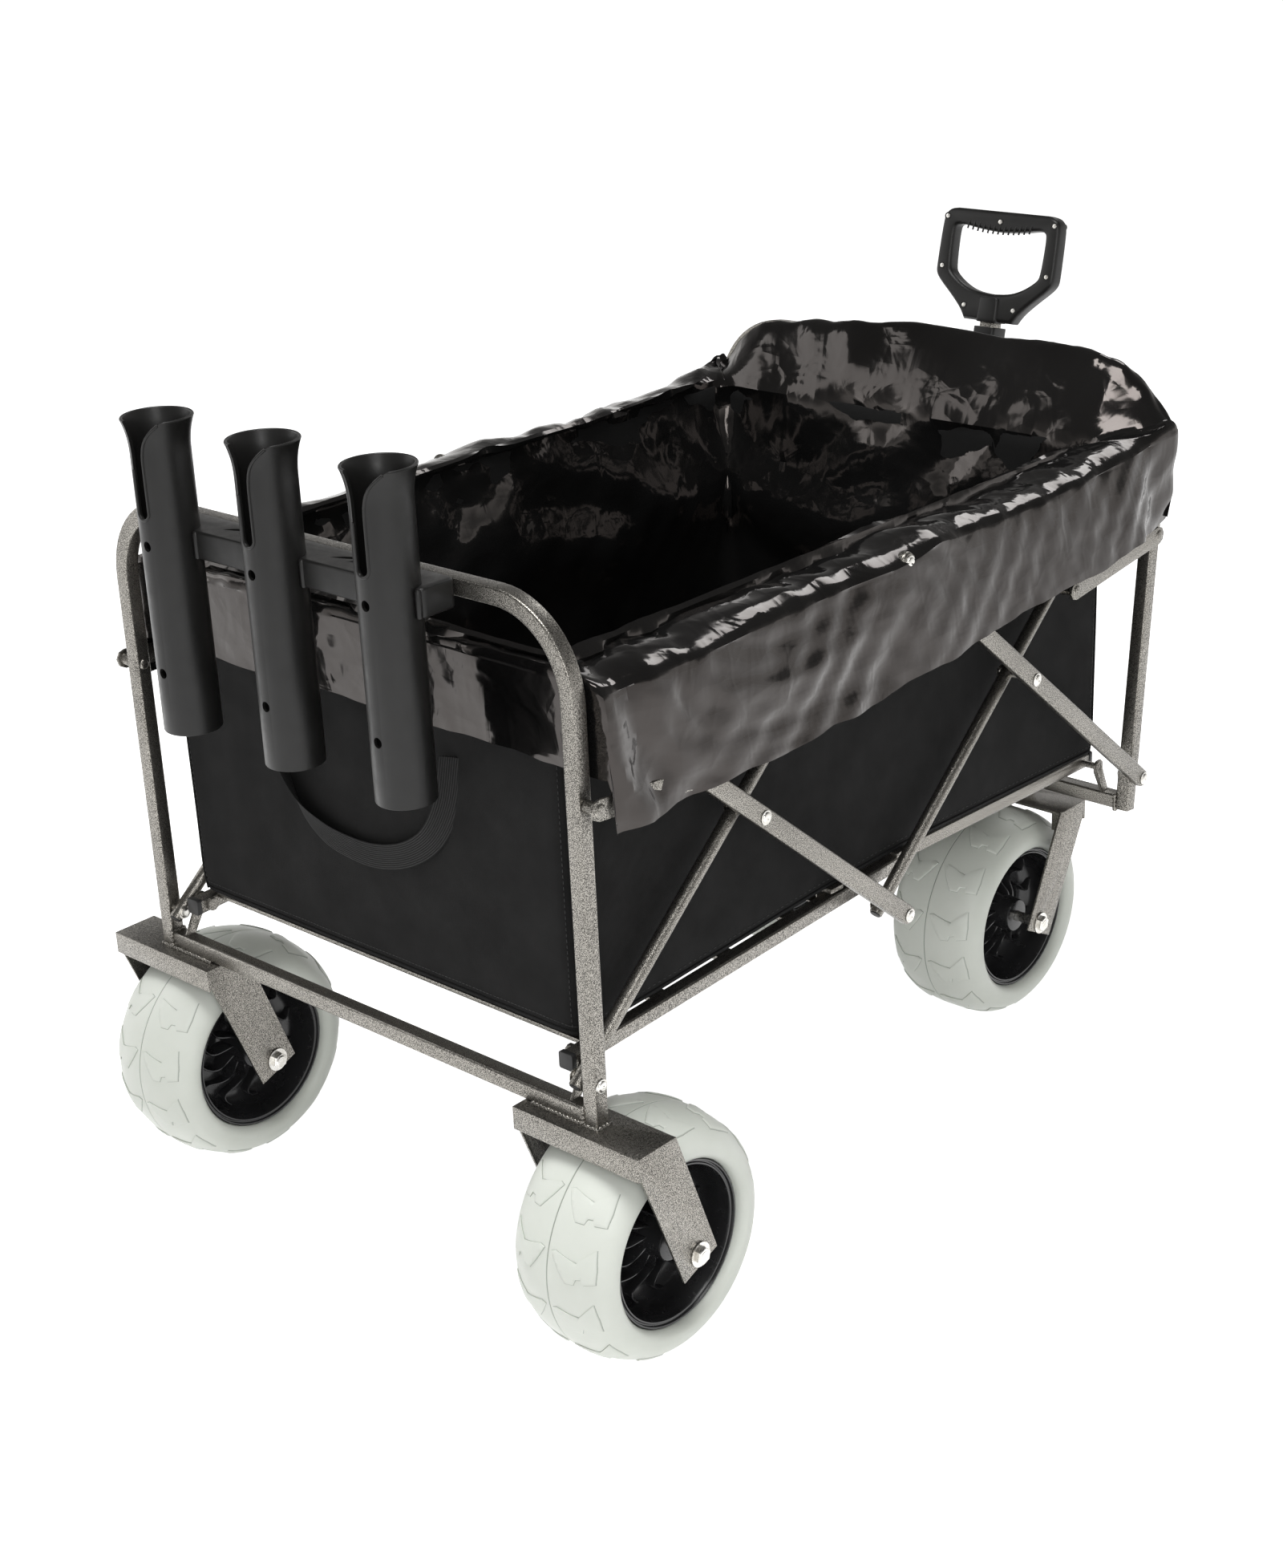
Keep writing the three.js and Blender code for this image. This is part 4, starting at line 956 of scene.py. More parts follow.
def build_rail_caps():
    """Square black caps on the free ends of the base's rails."""
    outline = rounded_box(2 * CAP_HALF, 2 * CAP_HALF, CAP_HALF * 0.25, 3)
    for node, x, way in RAIL_ENDS:
        low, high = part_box(node)
        end = low.y if way < 0 else high.y
        shape = Shape()
        for sign in (-1, 1):
            centre = Vector((sign * x, end, low.z + CAP_HALF))
            path = [centre + Vector((0, way * step, 0)) for step in (-CAP_THICK * 0.2, CAP_THICK)]
            shape.add(*sweep(path, outline, (1, 0, 0)))
        made = bevelled(shape.build(node + "_caps", finish("cap")), 0.8 * MM)
        stand_in(made, carrier_of(node), "black_plastic")


# Wheels

LUG_OUTLINE_MM = (
    (22, 20), (31, 19), (33, 13), (38, 12), (40, 17), (50, 15), (50, 0), (48, -20), (32, -2),
    (10, -8), (5, -6), (12, 6),
)  # across from the seam, and along the tread
LUG_RISE = 1.5 * MM
RIM = 84 * MM
HUB_HALF = 50 * MM
SHOULDER = 30 * MM
ROUNDNESS = 2.4
TYRE_SIDES = 128


def tread_radius(across, half, radius):
    share = min(1, abs(across) / half)
    return radius - SHOULDER * (1 - math.sqrt(max(0, 1 - share ** ROUNDNESS)))


def tyre_profile(half, radius):
    """(place along the axle, radius): bead, bulging side wall, shoulder, crown and its seam."""
    side = []
    steps = 9
    for i in range(steps):
        turn = math.pi / 2 * i / steps
        side.append((
            HUB_HALF + (half - HUB_HALF) * math.sin(turn),
            RIM + 0.4 * MM + (radius - SHOULDER - RIM) * (1 - math.cos(turn)),
        ))
    crown = []
    steps = 26
    for i in range(steps + 1):
        across = half * math.sin(math.pi / 2 * (1 - i / steps))
        crown.append((across, tread_radius(across, half, radius)))
    seam = 0.9 * MM
    crown = [(u, r) for u, r in crown if u > 2 * seam]
    crown += [(seam, radius), (0.35 * MM, radius - 0.7 * MM)]
    right = side + crown
    return right + [(-u, r) for u, r in reversed(right)]


def lug(half, radius):
    """One raised block of the tread, wrapped on the tyre: skirt, chamfer and top."""
    shape = bmesh.new()
    shape.faces.new([shape.verts.new((u * MM, s * MM, 0)) for u, s in LUG_OUTLINE_MM])
    for axis, low, high, step in ((0, 5, 50, 4), (1, -20, 20, 5)):
        value = low + step / 2
        while value < high:
            centre, normal = Vector((0, 0, 0)), Vector((0, 0, 0))
            centre[axis], normal[axis] = value * MM, 1
            everything = shape.verts[:] + shape.edges[:] + shape.faces[:]
            bmesh.ops.bisect_plane(shape, geom=everything, plane_co=centre, plane_no=normal)
            value += step
    ring = [e for e in shape.edges if e.is_boundary]
    skirt = bmesh.ops.extrude_edge_only(shape, edges=ring)
    low_verts = {v for v in skirt["geom"] if isinstance(v, bmesh.types.BMVert)}
    top = [v for v in shape.verts if v not in low_verts]
    edge = {v for v in top if any(e.is_boundary or len(e.link_faces) == 2 and any(
        u in low_verts for f in e.link_faces for u in f.verts) for e in v.link_edges)}
    middle_u = sum(u for u, _ in LUG_OUTLINE_MM) / len(LUG_OUTLINE_MM) * MM
    marks = []
    for v in shape.verts:
        u, s = v.co.x, v.co.y
        rise = LUG_RISE
        if v in low_verts:
            away = Vector((u - middle_u, s, 0)).normalized() * 1.5 * MM
            u, s = u + away.x, s + away.y
            rise = -0.4 * MM
        elif v in edge:
            rise = LUG_RISE * 0.8
        # The skirt's foot ring is marked for painted shade.
        marks.append(1.0 if v in low_verts else 0.0)
        r = tread_radius(u, half, radius) + rise
        turn = s / radius
        v.co = Vector((u, r * math.cos(turn), r * math.sin(turn)))
    made = gathered(shape)
    made.marks = marks
    return made


def round_axle(name, source, count, centre, phase, material, sharp):
    """Copies of the source round a wheel's axle; the source is removed."""
    made = grown(
        name, "ring", bpy.data.meshes.new("ring"), sharp,
        Source=source, Count=count, Centre=centre, Phase=phase, Material=finish(material),
    )
    discarded(source)
    return made


def build_tyre(name, count):
    node = "tyre_" + name
    centre = middle(node)
    size = extent(node)
    radius = size.z / 2 - LUG_RISE
    half = size.x / 2
    profile = tyre_profile(half, radius)
    shape = Shape().add(*lathe(profile, TYRE_SIDES, centre))
    seam = len(profile) // 2 * TYRE_SIDES
    # The crown's seam is marked for painted shade.
    shape.marks[seam - TYRE_SIDES:seam + TYRE_SIDES] = [0.75] * 2 * TYRE_SIDES
    tyre = shape.build(node + "_tread", finish("tyre"), sharp=50)
    blocks = lug(half, radius).mirrored().build("lug_source", finish("tyre"), sharp=50, recalculate=False)
    ring = round_axle(node + "_lugs", blocks, count, centre, 0.0, "tyre", 50)
    stand_for(settled(joined(tyre, ring), 50), node, "tyre")


def hub_profile(half):
    """(place along the axle, radius) of one side: double lip, deep barrel, web and boss."""
    lip = RIM - 0.2 * MM
    return [
        (half - 2 * MM, lip), (half + 0.6 * MM, lip - 0.2 * MM), (half + 1.2 * MM, lip - 1 * MM),
        (half + 0.9 * MM, lip - 2.2 * MM), (half - 1.4 * MM, lip - 3 * MM), (half - 1.6 * MM, lip - 4 * MM),
        (half - 0.4 * MM, lip - 5 * MM), (half - 0.6 * MM, lip - 6.4 * MM), (half - 3 * MM, lip - 7.4 * MM),
        (half - 20 * MM, lip - 9 * MM), (half - 34 * MM, lip - 11 * MM), (12 * MM, lip - 14 * MM),
        (7.5 * MM, lip - 18 * MM), (6 * MM, lip - 24 * MM), (6 * MM, 30 * MM), (7.5 * MM, 25 * MM),
        (12 * MM, 22 * MM), (half - 7 * MM, 19.5 * MM), (half - 5 * MM, 18.5 * MM),
        (half - 4.5 * MM, 17 * MM), (half - 4.5 * MM, 6.3 * MM),
    ]


def rib():
    """One curved rib, standing on both sides of the web between boss and barrel."""
    inner, outer = 19 * MM, RIM - 13 * MM
    thick = 2.4 * MM
    steps = 22
    path, heights = [], []
    for i in range(steps + 1):
        share = i / steps
        radius = mix(inner, outer, share)
        swing = 0.34 * math.sin(2 * math.pi * (share - 0.08)) * (0.4 + 0.6 * share) + 0.16 * share
        path.append(Vector((0, radius * math.cos(swing), radius * math.sin(swing))))
        heights.append(mix(20, 9, smooth(share)) * MM + 3 * MM * math.cos(2 * math.pi * share))
    shape = Shape()
    for way in (1, -1):
        places, faces = [], []
        for i, point in enumerate(path):
            before, after = path[max(0, i - 1)], path[min(steps, i + 1)]
            side = (after - before).normalized().cross(Vector((1, 0, 0))) * thick / 2
            top = 6 * MM + heights[i]
            for x, wide in ((5 * MM, 1.4), (top - 1 * MM, 1.0), (top, 0.45)):
                level = point + Vector((way * x, 0, 0))
                places += [level + side * wide, level - side * wide]
        for i in range(steps):
            a, b = i * 6, (i + 1) * 6
            loop = (0, 2, 4, 5, 3, 1)
            for j in range(6):
                k = (j + 1) % 6
                faces.append([a + loop[j], a + loop[k], b + loop[k], b + loop[j]])
        faces.append([0, 2, 4, 5, 3, 1])
        end = steps * 6
        faces.append([end + 1, end + 3, end + 5, end + 4, end + 2, end])
        shape.add(places, faces)
    return shape


def build_hub(name, count):
    node = "hub_" + name
    centre = middle(node)
    half = extent(node).x / 2
    right = hub_profile(half)
    profile = right + [(-u, r) for u, r in reversed(right)]
    hub = solid(node + "_dish", lathe(profile, 96, centre), "hub", 40)
    blade = rib().build("rib_source", finish("hub"), sharp=60)
    ribs = round_axle(node + "_ribs", blade, count, centre, 0.2, "hub", 60)
    stand_for(settled(joined(hub, ribs), 45), node, "black_plastic")


# Rod holders and their bracket

BORE = 25 * MM
HOLDER_WALL = 3.2 * MM
SLOT = 15 * MM
SLOT_RISE = 40 * MM  # of the stretch where the slot sweeps to the rim
SLOT_FOOT = 13 * MM  # above the bracket
HOLE = 5 * MM  # radius of the two screw holes in the rear wall
UPPER_HOLE_DROP = 12 * MM  # below the bracket's top
LOWER_HOLE_RISE = 62 * MM  # above the holder's foot


def holder_profile(low, high, mouth):
    """(height, radius) round the wall: bottom, outside, flared and rolled rim, inside."""
    outer = BORE + HOLDER_WALL
    flare = mouth - outer
    run = flare * 6
    steps = 12
    outside = [(low + 1.2 * MM, outer), (high - run, outer)]
    inside = [(high - run, BORE), (low + 1.2 * MM, BORE)]
    for i in range(1, steps + 1):
        share = i / steps
        height = high - run * (1 - share) - 1.6 * MM
        outside.append((height, outer + flare * share ** 2.4))
        inside.insert(0, (height, BORE + flare * share ** 2.4))
    rim = (BORE + outer) / 2 + flare
    half = HOLDER_WALL / 2
    roll = [
        (high - 1.6 * MM + 1.6 * MM * math.sin(turn), rim + half * math.cos(turn))
        for turn in (math.pi * i / 6 for i in range(1, 6))
    ]
    foot = [
        (low + 0.4 * MM, BORE + 0.3 * MM), (low, BORE + 0.9 * MM), (low, outer - 0.9 * MM),
        (low + 0.4 * MM, outer - 0.3 * MM),
    ]
    return foot + outside + roll + inside


def slot_edge(bottom, high):
    """The slot's edge, from the rim down its left side and up its right, in (x, z) places."""
    half = SLOT / 2
    points = [(-half, high + 2 * MM), (-half, (high + bottom) / 2)]
    for i in range(13):
        turn = math.pi + math.pi * i / 12
        points.append((half * math.cos(turn), bottom + half + half * math.sin(turn)))
    knee = high - SLOT_RISE
    points.append((half, knee))
    corner, lip = (half, high - SLOT_RISE * 0.45), (SLOT_RISE * 0.8, high + 2 * MM)
    shoulder = (SLOT_RISE * 0.42, high - SLOT_RISE * 0.3)
    for i in range(1, 9):
        share = i / 8
        rest = 1 - share
        points.append(tuple(
            rest ** 3 * a + 3 * share * rest ** 2 * b + 3 * share ** 2 * rest * c + share ** 3 * d
            for a, b, c, d in zip((half, knee), corner, shoulder, lip)
        ))
    return points


def on_wall(x, z, centre, profile):
    """The place on a holder's outer wall, on its rear side, straight behind (x, z)."""
    radius = BORE + HOLDER_WALL
    for (z0, r0), (z1, r1) in zip(profile, profile[1:]):
        if min(z0, z1) <= z <= max(z0, z1) and max(r0, r1) >= radius - MM and z1 > z0:
            radius = mix(r0, r1, (z - z0) / (z1 - z0))
    x = max(-0.985 * radius, min(0.985 * radius, x))
    return Vector((centre.x + x, centre.y - math.sqrt(radius * radius - x * x), z))


def build_holder(name, mouth):
    node = "rod_holder_" + name
    low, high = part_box(node)
    centre = middle(node)
    profile = holder_profile(low.z, high.z, mouth)
    bracket_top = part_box("rod_holder_bracket")[1].z
    tube = solid(node + "_tube", lathe(profile, 88, (centre.x, centre.y, 0), "Z"), "plastic")
    edge = slot_edge(bracket_top + SLOT_FOOT, high.z)
    rear, front = centre.y - 2 * mouth, centre.y + 2 * mouth
    slot = prism([(centre.x + x, z) for x, z in edge], rear, centre.y, "Y")
    cutters = [solid("slot_cutter", slot, "plastic")]
    for z in (bracket_top - UPPER_HOLE_DROP, low.z + LOWER_HOLE_RISE):
        places, faces = cylinder(rear, front, HOLE, 28, (0, 0, 0))
        turned = [Vector((centre.x + p.z, p.x, z + p.y)) for p in places]
        cutters.append(solid("hole_cutter", (turned, faces), "plastic"))
    carved(tube, *cutters, sharp=32)
    inside = [p for p in edge if p[1] <= high.z - 1 * MM and abs(p[0]) < mouth * 0.8]
    fine = []
    for (x0, z0), (x1, z1) in zip(inside, inside[1:]):
        count = max(1, round(math.hypot(x1 - x0, z1 - z0) / (3 * MM)))
        fine += [(mix(x0, x1, k / count), mix(z0, z1, k / count)) for k in range(count)]
    fine.append(inside[-1])
    line = edge_line("lip", [on_wall(x, z, centre, profile) + Vector((0, 0.3 * MM, 0)) for x, z in fine])
    roll = grown(node + "_lip", "tube", line, 60, Radius=1.5 * MM, Sides=10, Material=finish("plastic"))
    stand_for(settled(joined(tube, roll), 32), node, "black_plastic")


def leaf(x, y, length, width, lean, top, deep):
    """A leaf-shaped recess cutter in the bracket's top."""
    steps = 10
    cos, sin = math.cos(lean), math.sin(lean)
    outline = []
    for i in range(2 * steps):
        share = i / steps
        bow = math.sin(math.pi * (share % 1)) ** 0.8 * width / 2
        along = (share if share < 1 else 2 - share) - 0.5
        u, v = along * length, bow * (1 if share < 1 else -0.35)
        outline.append((x + u * cos - v * sin, y + u * sin + v * cos))
    return solid("leaf_cutter", prism(outline, top - deep, top + deep, "Z"), "plastic")


def build_bracket():
    """A rounded box beam with leaf-shaped cuts in its top and a pillar beside each holder."""
    node = "rod_holder_bracket"
    low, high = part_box(node)
    centre, size = middle(node), extent(node)
    round_edge = 3.5 * MM
    outline = [
        (centre.x + u, centre.y + v) for u, v in rounded_box(size.x, size.y, round_edge * 2.2, 6)
    ]
    beam = solid(node + "_beam", prism(outline, low.z, high.z, "Z"), "plastic")
    bevelled(beam, round_edge * 0.7, 4, 60)
    pocket = BORE + HOLDER_WALL + 0.15 * MM
    cutters = []
    holders = [middle("rod_holder_" + name) for name in HOLDERS]
    for place in holders:
        hole = cylinder(low.z - round_edge, high.z + round_edge, pocket, 64, (place.x, place.y, 0), "Z")
        cutters.append(solid("pocket_cutter", hole, "plastic"))
    for a, b in zip(holders, holders[1:]):
        gap = (a.x + b.x) / 2
        for shift in (-11 * MM, 11 * MM):
            cutters.append(leaf(gap + shift, centre.y + 4 * MM, 34 * MM, 8.5 * MM, 0.42, high.z, 3 * MM))
    carved(beam, *cutters, sharp=40)
    pillars = Shape()
    levels = (low.z + 0.6 * MM, low.z + 2 * MM, high.z - 2.6 * MM, high.z - 0.6 * MM)
    sizes = (0.8, 1.0, 1.0, 0.7)
    for place in holders:
        reach = math.sqrt(max(0, pocket ** 2 - (low.y - place.y) ** 2)) + 2.6 * MM
        for way in (-1, 1):
            path = [Vector((place.x + way * reach, low.y + 0.6 * MM, z)) for z in levels]
            pillars.add(*sweep(path, lambda share: circle(3.1 * MM * sizes[round(share * 4)], 14), (1, 0, 0)))
    posts = pillars.build(node + "_posts", finish("plastic"), sharp=50)
    stand_for(settled(joined(beam, posts), 40), node, "black_plastic")


# Pull handle

GRIP_OUTER_SHARES = (
    (0.41, 0), (0.5, 0.09), (0.68, 0.2), (0.92, 0.33), (0.99, 0.39), (1, 0.46), (0.985, 0.88),
    (0.95, 0.95), (0.87, 0.99), (0.76, 1),
)
GRIP_INNER_SHARES = (
    (0, 0.25), (0.3, 0.265), (0.52, 0.32), (0.72, 0.41), (0.76, 0.47), (0.775, 0.8), (0.74, 0.85),
    (0.62, 0.855), (0.34, 0.825), (0, 0.81),
)
GRIP_SCREW_SHARES = (
    (-0.9, 0.915), (0, 0.905), (0.9, 0.915), (-0.885, 0.46), (0.885, 0.46), (-0.42, 0.125), (0.42, 0.125),
)
SCREW_RIM_MM = ((-0.3, 0), (-0.3, 4.4), (0.4, 4.2), (0.4, 3.2), (-0.1, 3.0), (-0.1, 0))
SCREW_HEAD_MM = ((-0.2, 0), (-0.2, 2.9), (0.25, 2.5), (0.4, 1.0), (0.1, 0.8), (0.1, 0))
GRIP_THICK, GRIP_HEIGHT = 21 * MM, 129 * MM
LEAN = math.radians(13.5)


def handle_axes():
    """The handle's pivot, and the turn that leans an upright drawing about it."""
    return middle("handle_pivot_bolt"), Matrix.Rotation(-LEAN, 3, "X")


def handle_place(x, y, z):
    """A place drawn on the upright handle, measured from its pivot."""
    pivot, turn = handle_axes()
    return pivot + turn @ Vector((x, y, z))


def softened(points, passes=2):
    """An open outline with its corners cut, passes times."""
    for _ in range(passes):
        cut = [points[0]]
        for a, b in zip(points, points[1:]):
            cut += [tuple(mix(u, v, share) for u, v in zip(a, b)) for share in (0.25, 0.75)]
        points = cut + [points[-1]]
    return points


def build_grip():
    """The D-shaped grip: a rounded body, ribs under its top bar, and recessed screws."""
    node = "handle_grip"
    half_width = extent(node).x / 2
    thick, height = GRIP_THICK, GRIP_HEIGHT
    pivot, turn = handle_axes()
    foot = (turn.inverted() @ (middle(node) - pivot)).z - height / 2

    def place(share):
        return share[0] * half_width, foot + share[1] * height

    outer = [place(s) for s in softened(list(GRIP_OUTER_SHARES))]
    inner = [place(s) for s in softened(list(GRIP_INNER_SHARES))]
    outer += [(-x, z) for x, z in reversed(outer)]
    inner += [(-x, z) for x, z in reversed(inner[1:-1])]
    body = solid(node + "_body", prism(outer, -thick / 2, thick / 2, "Y"), "plastic")
    carved(body, solid("opening_cutter", prism(inner, -thick, thick, "Y"), "plastic"))
    shape = bmesh.new()
    shape.from_mesh(body.data)
    flattened(shape, 0.5)
    shape.to_mesh(body.data)
    shape.free()
    bevelled(body, 5.2 * MM, 5, 60, 40)
    neck = sweep(
        [Vector((0, 0, foot + z)) for z in (-1 * MM, 4 * MM, 28 * MM)],
        rounded_box(29 * MM, 27 * MM, 5 * MM, 4), (1, 0, 0),
    )
    neck = bevelled(solid("neck", neck, "plastic"), 1 * MM)
    ribs = Shape()
    count = 13
    for i in range(count):
        x = mix(-0.52, 0.52, i / (count - 1)) * half_width
        z = foot + height * (0.845 - 0.03 * (1 - (2 * i / (count - 1) - 1) ** 2))
        line = [
            Vector((x - 1.5 * MM, -thick * 0.46, z - 3 * MM)), Vector((x, -thick * 0.505, z + 2 * MM)),
            Vector((x + 1.5 * MM, -thick * 0.47, z + 7 * MM)),
        ]
        ribs.add(*sweep(line, circle(1.1 * MM, 8), (1, 0, 0)))
    ribs = ribs.build("grip_ribs", finish("plastic"), sharp=60)
    joined(body, neck, ribs)
    for vertex in body.data.vertices:
        vertex.co = handle_place(*vertex.co)
    stand_for(settled(body, 40), node, "black_plastic")
    screws = Shape()
    for x, z in (place(s) for s in GRIP_SCREW_SHARES):
        for way in (-1, 1):
            face = way * thick / 2
            for slot, (profile, sides) in enumerate(((SCREW_RIM_MM, 20), (SCREW_HEAD_MM, 16))):
                places, faces = lathe([(u * MM, r * MM) for u, r in profile], sides, (0, 0, 0))
                screws.add([handle_place(x + p.y, face + way * p.x, z + p.z) for p in places], faces, slot)
    made = screws.build("grip_screws", finish("plastic"), finish("zinc"))
    stand_in(made, carrier_of(node), "zinc")


def build_collar():
    stand_for(dressed("handle_collar", "plastic", 1.4 * MM), "handle_collar", "black_plastic")


# Cloth tub and its carrying strap

CLOTH = 3 * MM
CORNER = 16 * MM
FLOOR_RISE = 14.2 * MM  # of the tub's floor in its middle
FLOOR_FLAT = 70 * MM  # half the length of the floor's level stretch


def round_box_at(share, half_x, y0, y1, radius):
    """A place round a rectangle with round corners, and its outward normal. The share runs from 0
    to 4: rear, right, front and left side, each from corner to corner."""
    side = int(share) % 4
    part = share - int(share)
    length, along, start = (
        (2 * half_x, Vector((1, 0)), Vector((-half_x, y0))),
        (y1 - y0, Vector((0, 1)), Vector((half_x, y0))),
        (2 * half_x, Vector((-1, 0)), Vector((half_x, y1))),
        (y1 - y0, Vector((0, -1)), Vector((-half_x, y1))),
    )[side]
    out = Vector((along.y, -along.x))
    run = part * length
    point = start + along * run
    if run < radius or run > length - radius:
        late = run > length - radius
        corner = start + along * (length - radius if late else radius) - out * radius
        turn = math.pi / 4 * ((run - length + radius) / radius if late else (run - radius) / radius)
        normal = out * math.cos(turn) + along * math.sin(turn)
        return corner + normal * radius, normal
    return point, out


def tub_floor(y):
    """The floor follows the base: high over its middle, lower at its ends."""
    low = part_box("cloth_tub")[0].z
    away = max(0, abs(y - middle("cloth_tub").y) - FLOOR_FLAT) / (extent("cloth_tub").y / 2 - FLOOR_FLAT)
    return mix(low + FLOOR_RISE, low, min(1, away))


def tub_billow(share, rise):
    """How far a wall stands out of its plane: panels sag between their edges, with soft creases."""
    part = share - int(share)
    panel = math.sin(math.pi * part) * math.sin(math.pi * min(1, rise * 1.05))
    long_side = int(share) % 2
    creases = noise.noise(Vector((share * 9, rise * 3.2, 1.7))) * 1.5
    pull = noise.noise(Vector((share * 31, rise * 1.2 + share * 4, 4.1))) * 1.5
    pull *= 1 - part * (1 - part) * 3.4
    return (panel * (-3.0 if long_side else -2.2) + (creases + pull) * (0.35 + 0.65 * rise)) * MM


def cloth_piece(name, material, places, flats, faces, sharp):
    """A soft piece with its own flat coordinates, one pair for each place."""
    mesh = bpy.data.meshes.new(name)
    mesh.from_pydata(places, [], faces)
    mesh.materials.append(finish(material))
    layer = mesh.uv_layers.new(name="cloth")
    for loop in mesh.loops:
        layer.data[loop.index].uv = flats[loop.vertex_index]
    tidy(mesh, 0)
    return placed(name, mesh, sharp)


def build_tub():
    node = "cloth_tub"
    low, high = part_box(node)
    ring_count, rows, floor_rows = 240, 22, 6
    places, flats, faces = [], [], []
    length = 2 * (high.x - low.x + high.y - low.y)

    def wall_place(share, rise, inset):
        rear, front, radius = low.y + inset, high.y - inset, CORNER - inset * 0.5
        point, normal = round_box_at(share, high.x - inset, rear, front, radius)
        point = point + normal * tub_billow(share, rise)
        bottom = tub_floor(point.y) + inset
        roll = 4 * MM * (1 - smooth(rise * 14))
        point = point - normal * roll * 0.6
        return Vector((point.x, point.y, mix(bottom, high.z, rise)))

    def ring(inset, rise):
        start = len(places)
        for i in range(ring_count):
            share = 4 * i / ring_count
            places.append(wall_place(share, rise, inset))
            flats.append((share * length / 4, places[-1].z))
        return start

    def floor_ring(inset, scale):
        start = len(places)
        for i in range(ring_count):
            edge = wall_place(4 * i / ring_count, 0, inset)
            y = mix((low.y + high.y) / 2, edge.y, scale)
            places.append(Vector((edge.x * scale, y, tub_floor(y) + inset)))
            flats.append((edge.x * scale, y))
        return start

    def bridge(a, b):
        for i in range(ring_count):
            k = (i + 1) % ring_count
            faces.append([a + i, a + k, b + k, b + i])

    loops = [floor_ring(0, (k + 1) / floor_rows) for k in range(floor_rows - 1)]
    loops += [ring(0, (k / rows) ** 0.9) for k in range(rows + 1)]
    loops.append(ring(CLOTH / 2, 1.004))
    loops += [ring(CLOTH, 1 - k / rows) for k in range(rows + 1)]
    loops += [floor_ring(CLOTH, 1 - (k + 1) / floor_rows) for k in range(floor_rows - 1)]
    for a, b in zip(loops, loops[1:]):
        bridge(a, b)
    for start, inset in ((loops[0], 0), (loops[-1], CLOTH)):
        pole = len(places)
        y = (low.y + high.y) / 2
        places.append(Vector((0, y, tub_floor(y) + inset)))
        flats.append((0, y))
        for i in range(ring_count):
            faces.append([start + i, start + (i + 1) % ring_count, pole])
    tub = cloth_piece(node + "_shell", "cloth", places, flats, faces, 60)
    soft_ride(stand_for(tub, node, "black_cloth"))

    seams = Shape()
    for corner in range(4):
        line = [wall_place(corner + 0.001, rise / 20, -0.6 * MM) for rise in range(21)]
        seams.add(*sweep(line, circle(1.5 * MM, 8), (1, 0, 0)))
    hem = [wall_place(4 * i / ring_count, 0.012, -0.5 * MM) for i in range(ring_count)]
    seams.add(*sweep(hem, circle(1.4 * MM, 8), (0, 0, 1), True))
    made = with_flat_map(seams.build("tub_seams", finish("cloth"), sharp=60))
    soft_ride(stand_in(made, carrier_of(node), "black_cloth"))

    def stitch(share, rise, lean):
        _, normal = round_box_at(share, high.x, low.y, high.y, CORNER)
        return wall_place(share, rise, -0.25 * MM), (0, lean, math.atan2(normal.x, -normal.y))

    gap = 6 * MM
    count = int(length / gap)
    stitches = [stitch(4 * i * gap / length, rise, 0) for rise in (0.028, 0.962) for i in range(count)]
    for corner in range(4):
        for rise in range(58):
            for away in (-0.016, 0.016):
                stitches.append(stitch((corner + away) % 4, 0.03 + rise / 62, math.pi / 2))
    soft_ride(stitched("tub_stitches", stitches, carrier_of(node)))


def with_flat_map(made):
    """Gives a small cloth piece flat coordinates from its own place, in metres."""
    layer = made.data.uv_layers.new(name="cloth")
    for loop in made.data.loops:
        p = made.data.vertices[loop.vertex_index].co
        layer.data[loop.index].uv = (p.x + p.y, p.z)
    return made


def stitched(name, places, body):
    """Short thread stitches on points, each along its own X axis."""
    half, radius = 1.7 * MM, 0.42 * MM
    path = [Vector((half * s, 0, 0)) for s in (-1, -0.75, 0, 0.75, 1)]
    thick = (0.35, 0.9, 1.0, 0.9, 0.35)
    shape = sweep(path, lambda share: circle(radius * thick[round(share * 5)], 6), (0, 0, 1))
    source = solid("stitch_source", shape, "thread", 70)
    made = grown(name, "points", turned_points(name, places), 70, Source=source, Material=finish("thread"))
    discarded(source)
    return stand_in(made, body, "black_cloth")


STRAP_PLACES_MM = (
    (-118, 113, 80), (-112, 168, 70), (-92, 214, 35), (-58, 236, 12), (-20, 243, 4), (20, 242, 0),
    (62, 229, 6), (98, 203, 18), (122, 163, 30), (134, 113, 40),
)  # across, below the tub's rim, and the degrees that the web is turned out of the panel's plane
STRAP_WIDTH = 26 * MM


def curve_through(points, steps):
    """A smooth line through the points."""
    line = []
    for i in range(len(points) - 1):
        a = points[max(0, i - 1)]
        b, c = points[i], points[i + 1]
        d = points[min(len(points) - 1, i + 2)]
        for k in range(steps):
            t = k / steps
            line.append(0.5 * (
                2 * b + (c - a) * t + (2 * a - 5 * b + 4 * c - d) * t * t + (3 * b - a - 3 * c + d) * t ** 3
            ))
    line.append(points[-1])
    return line


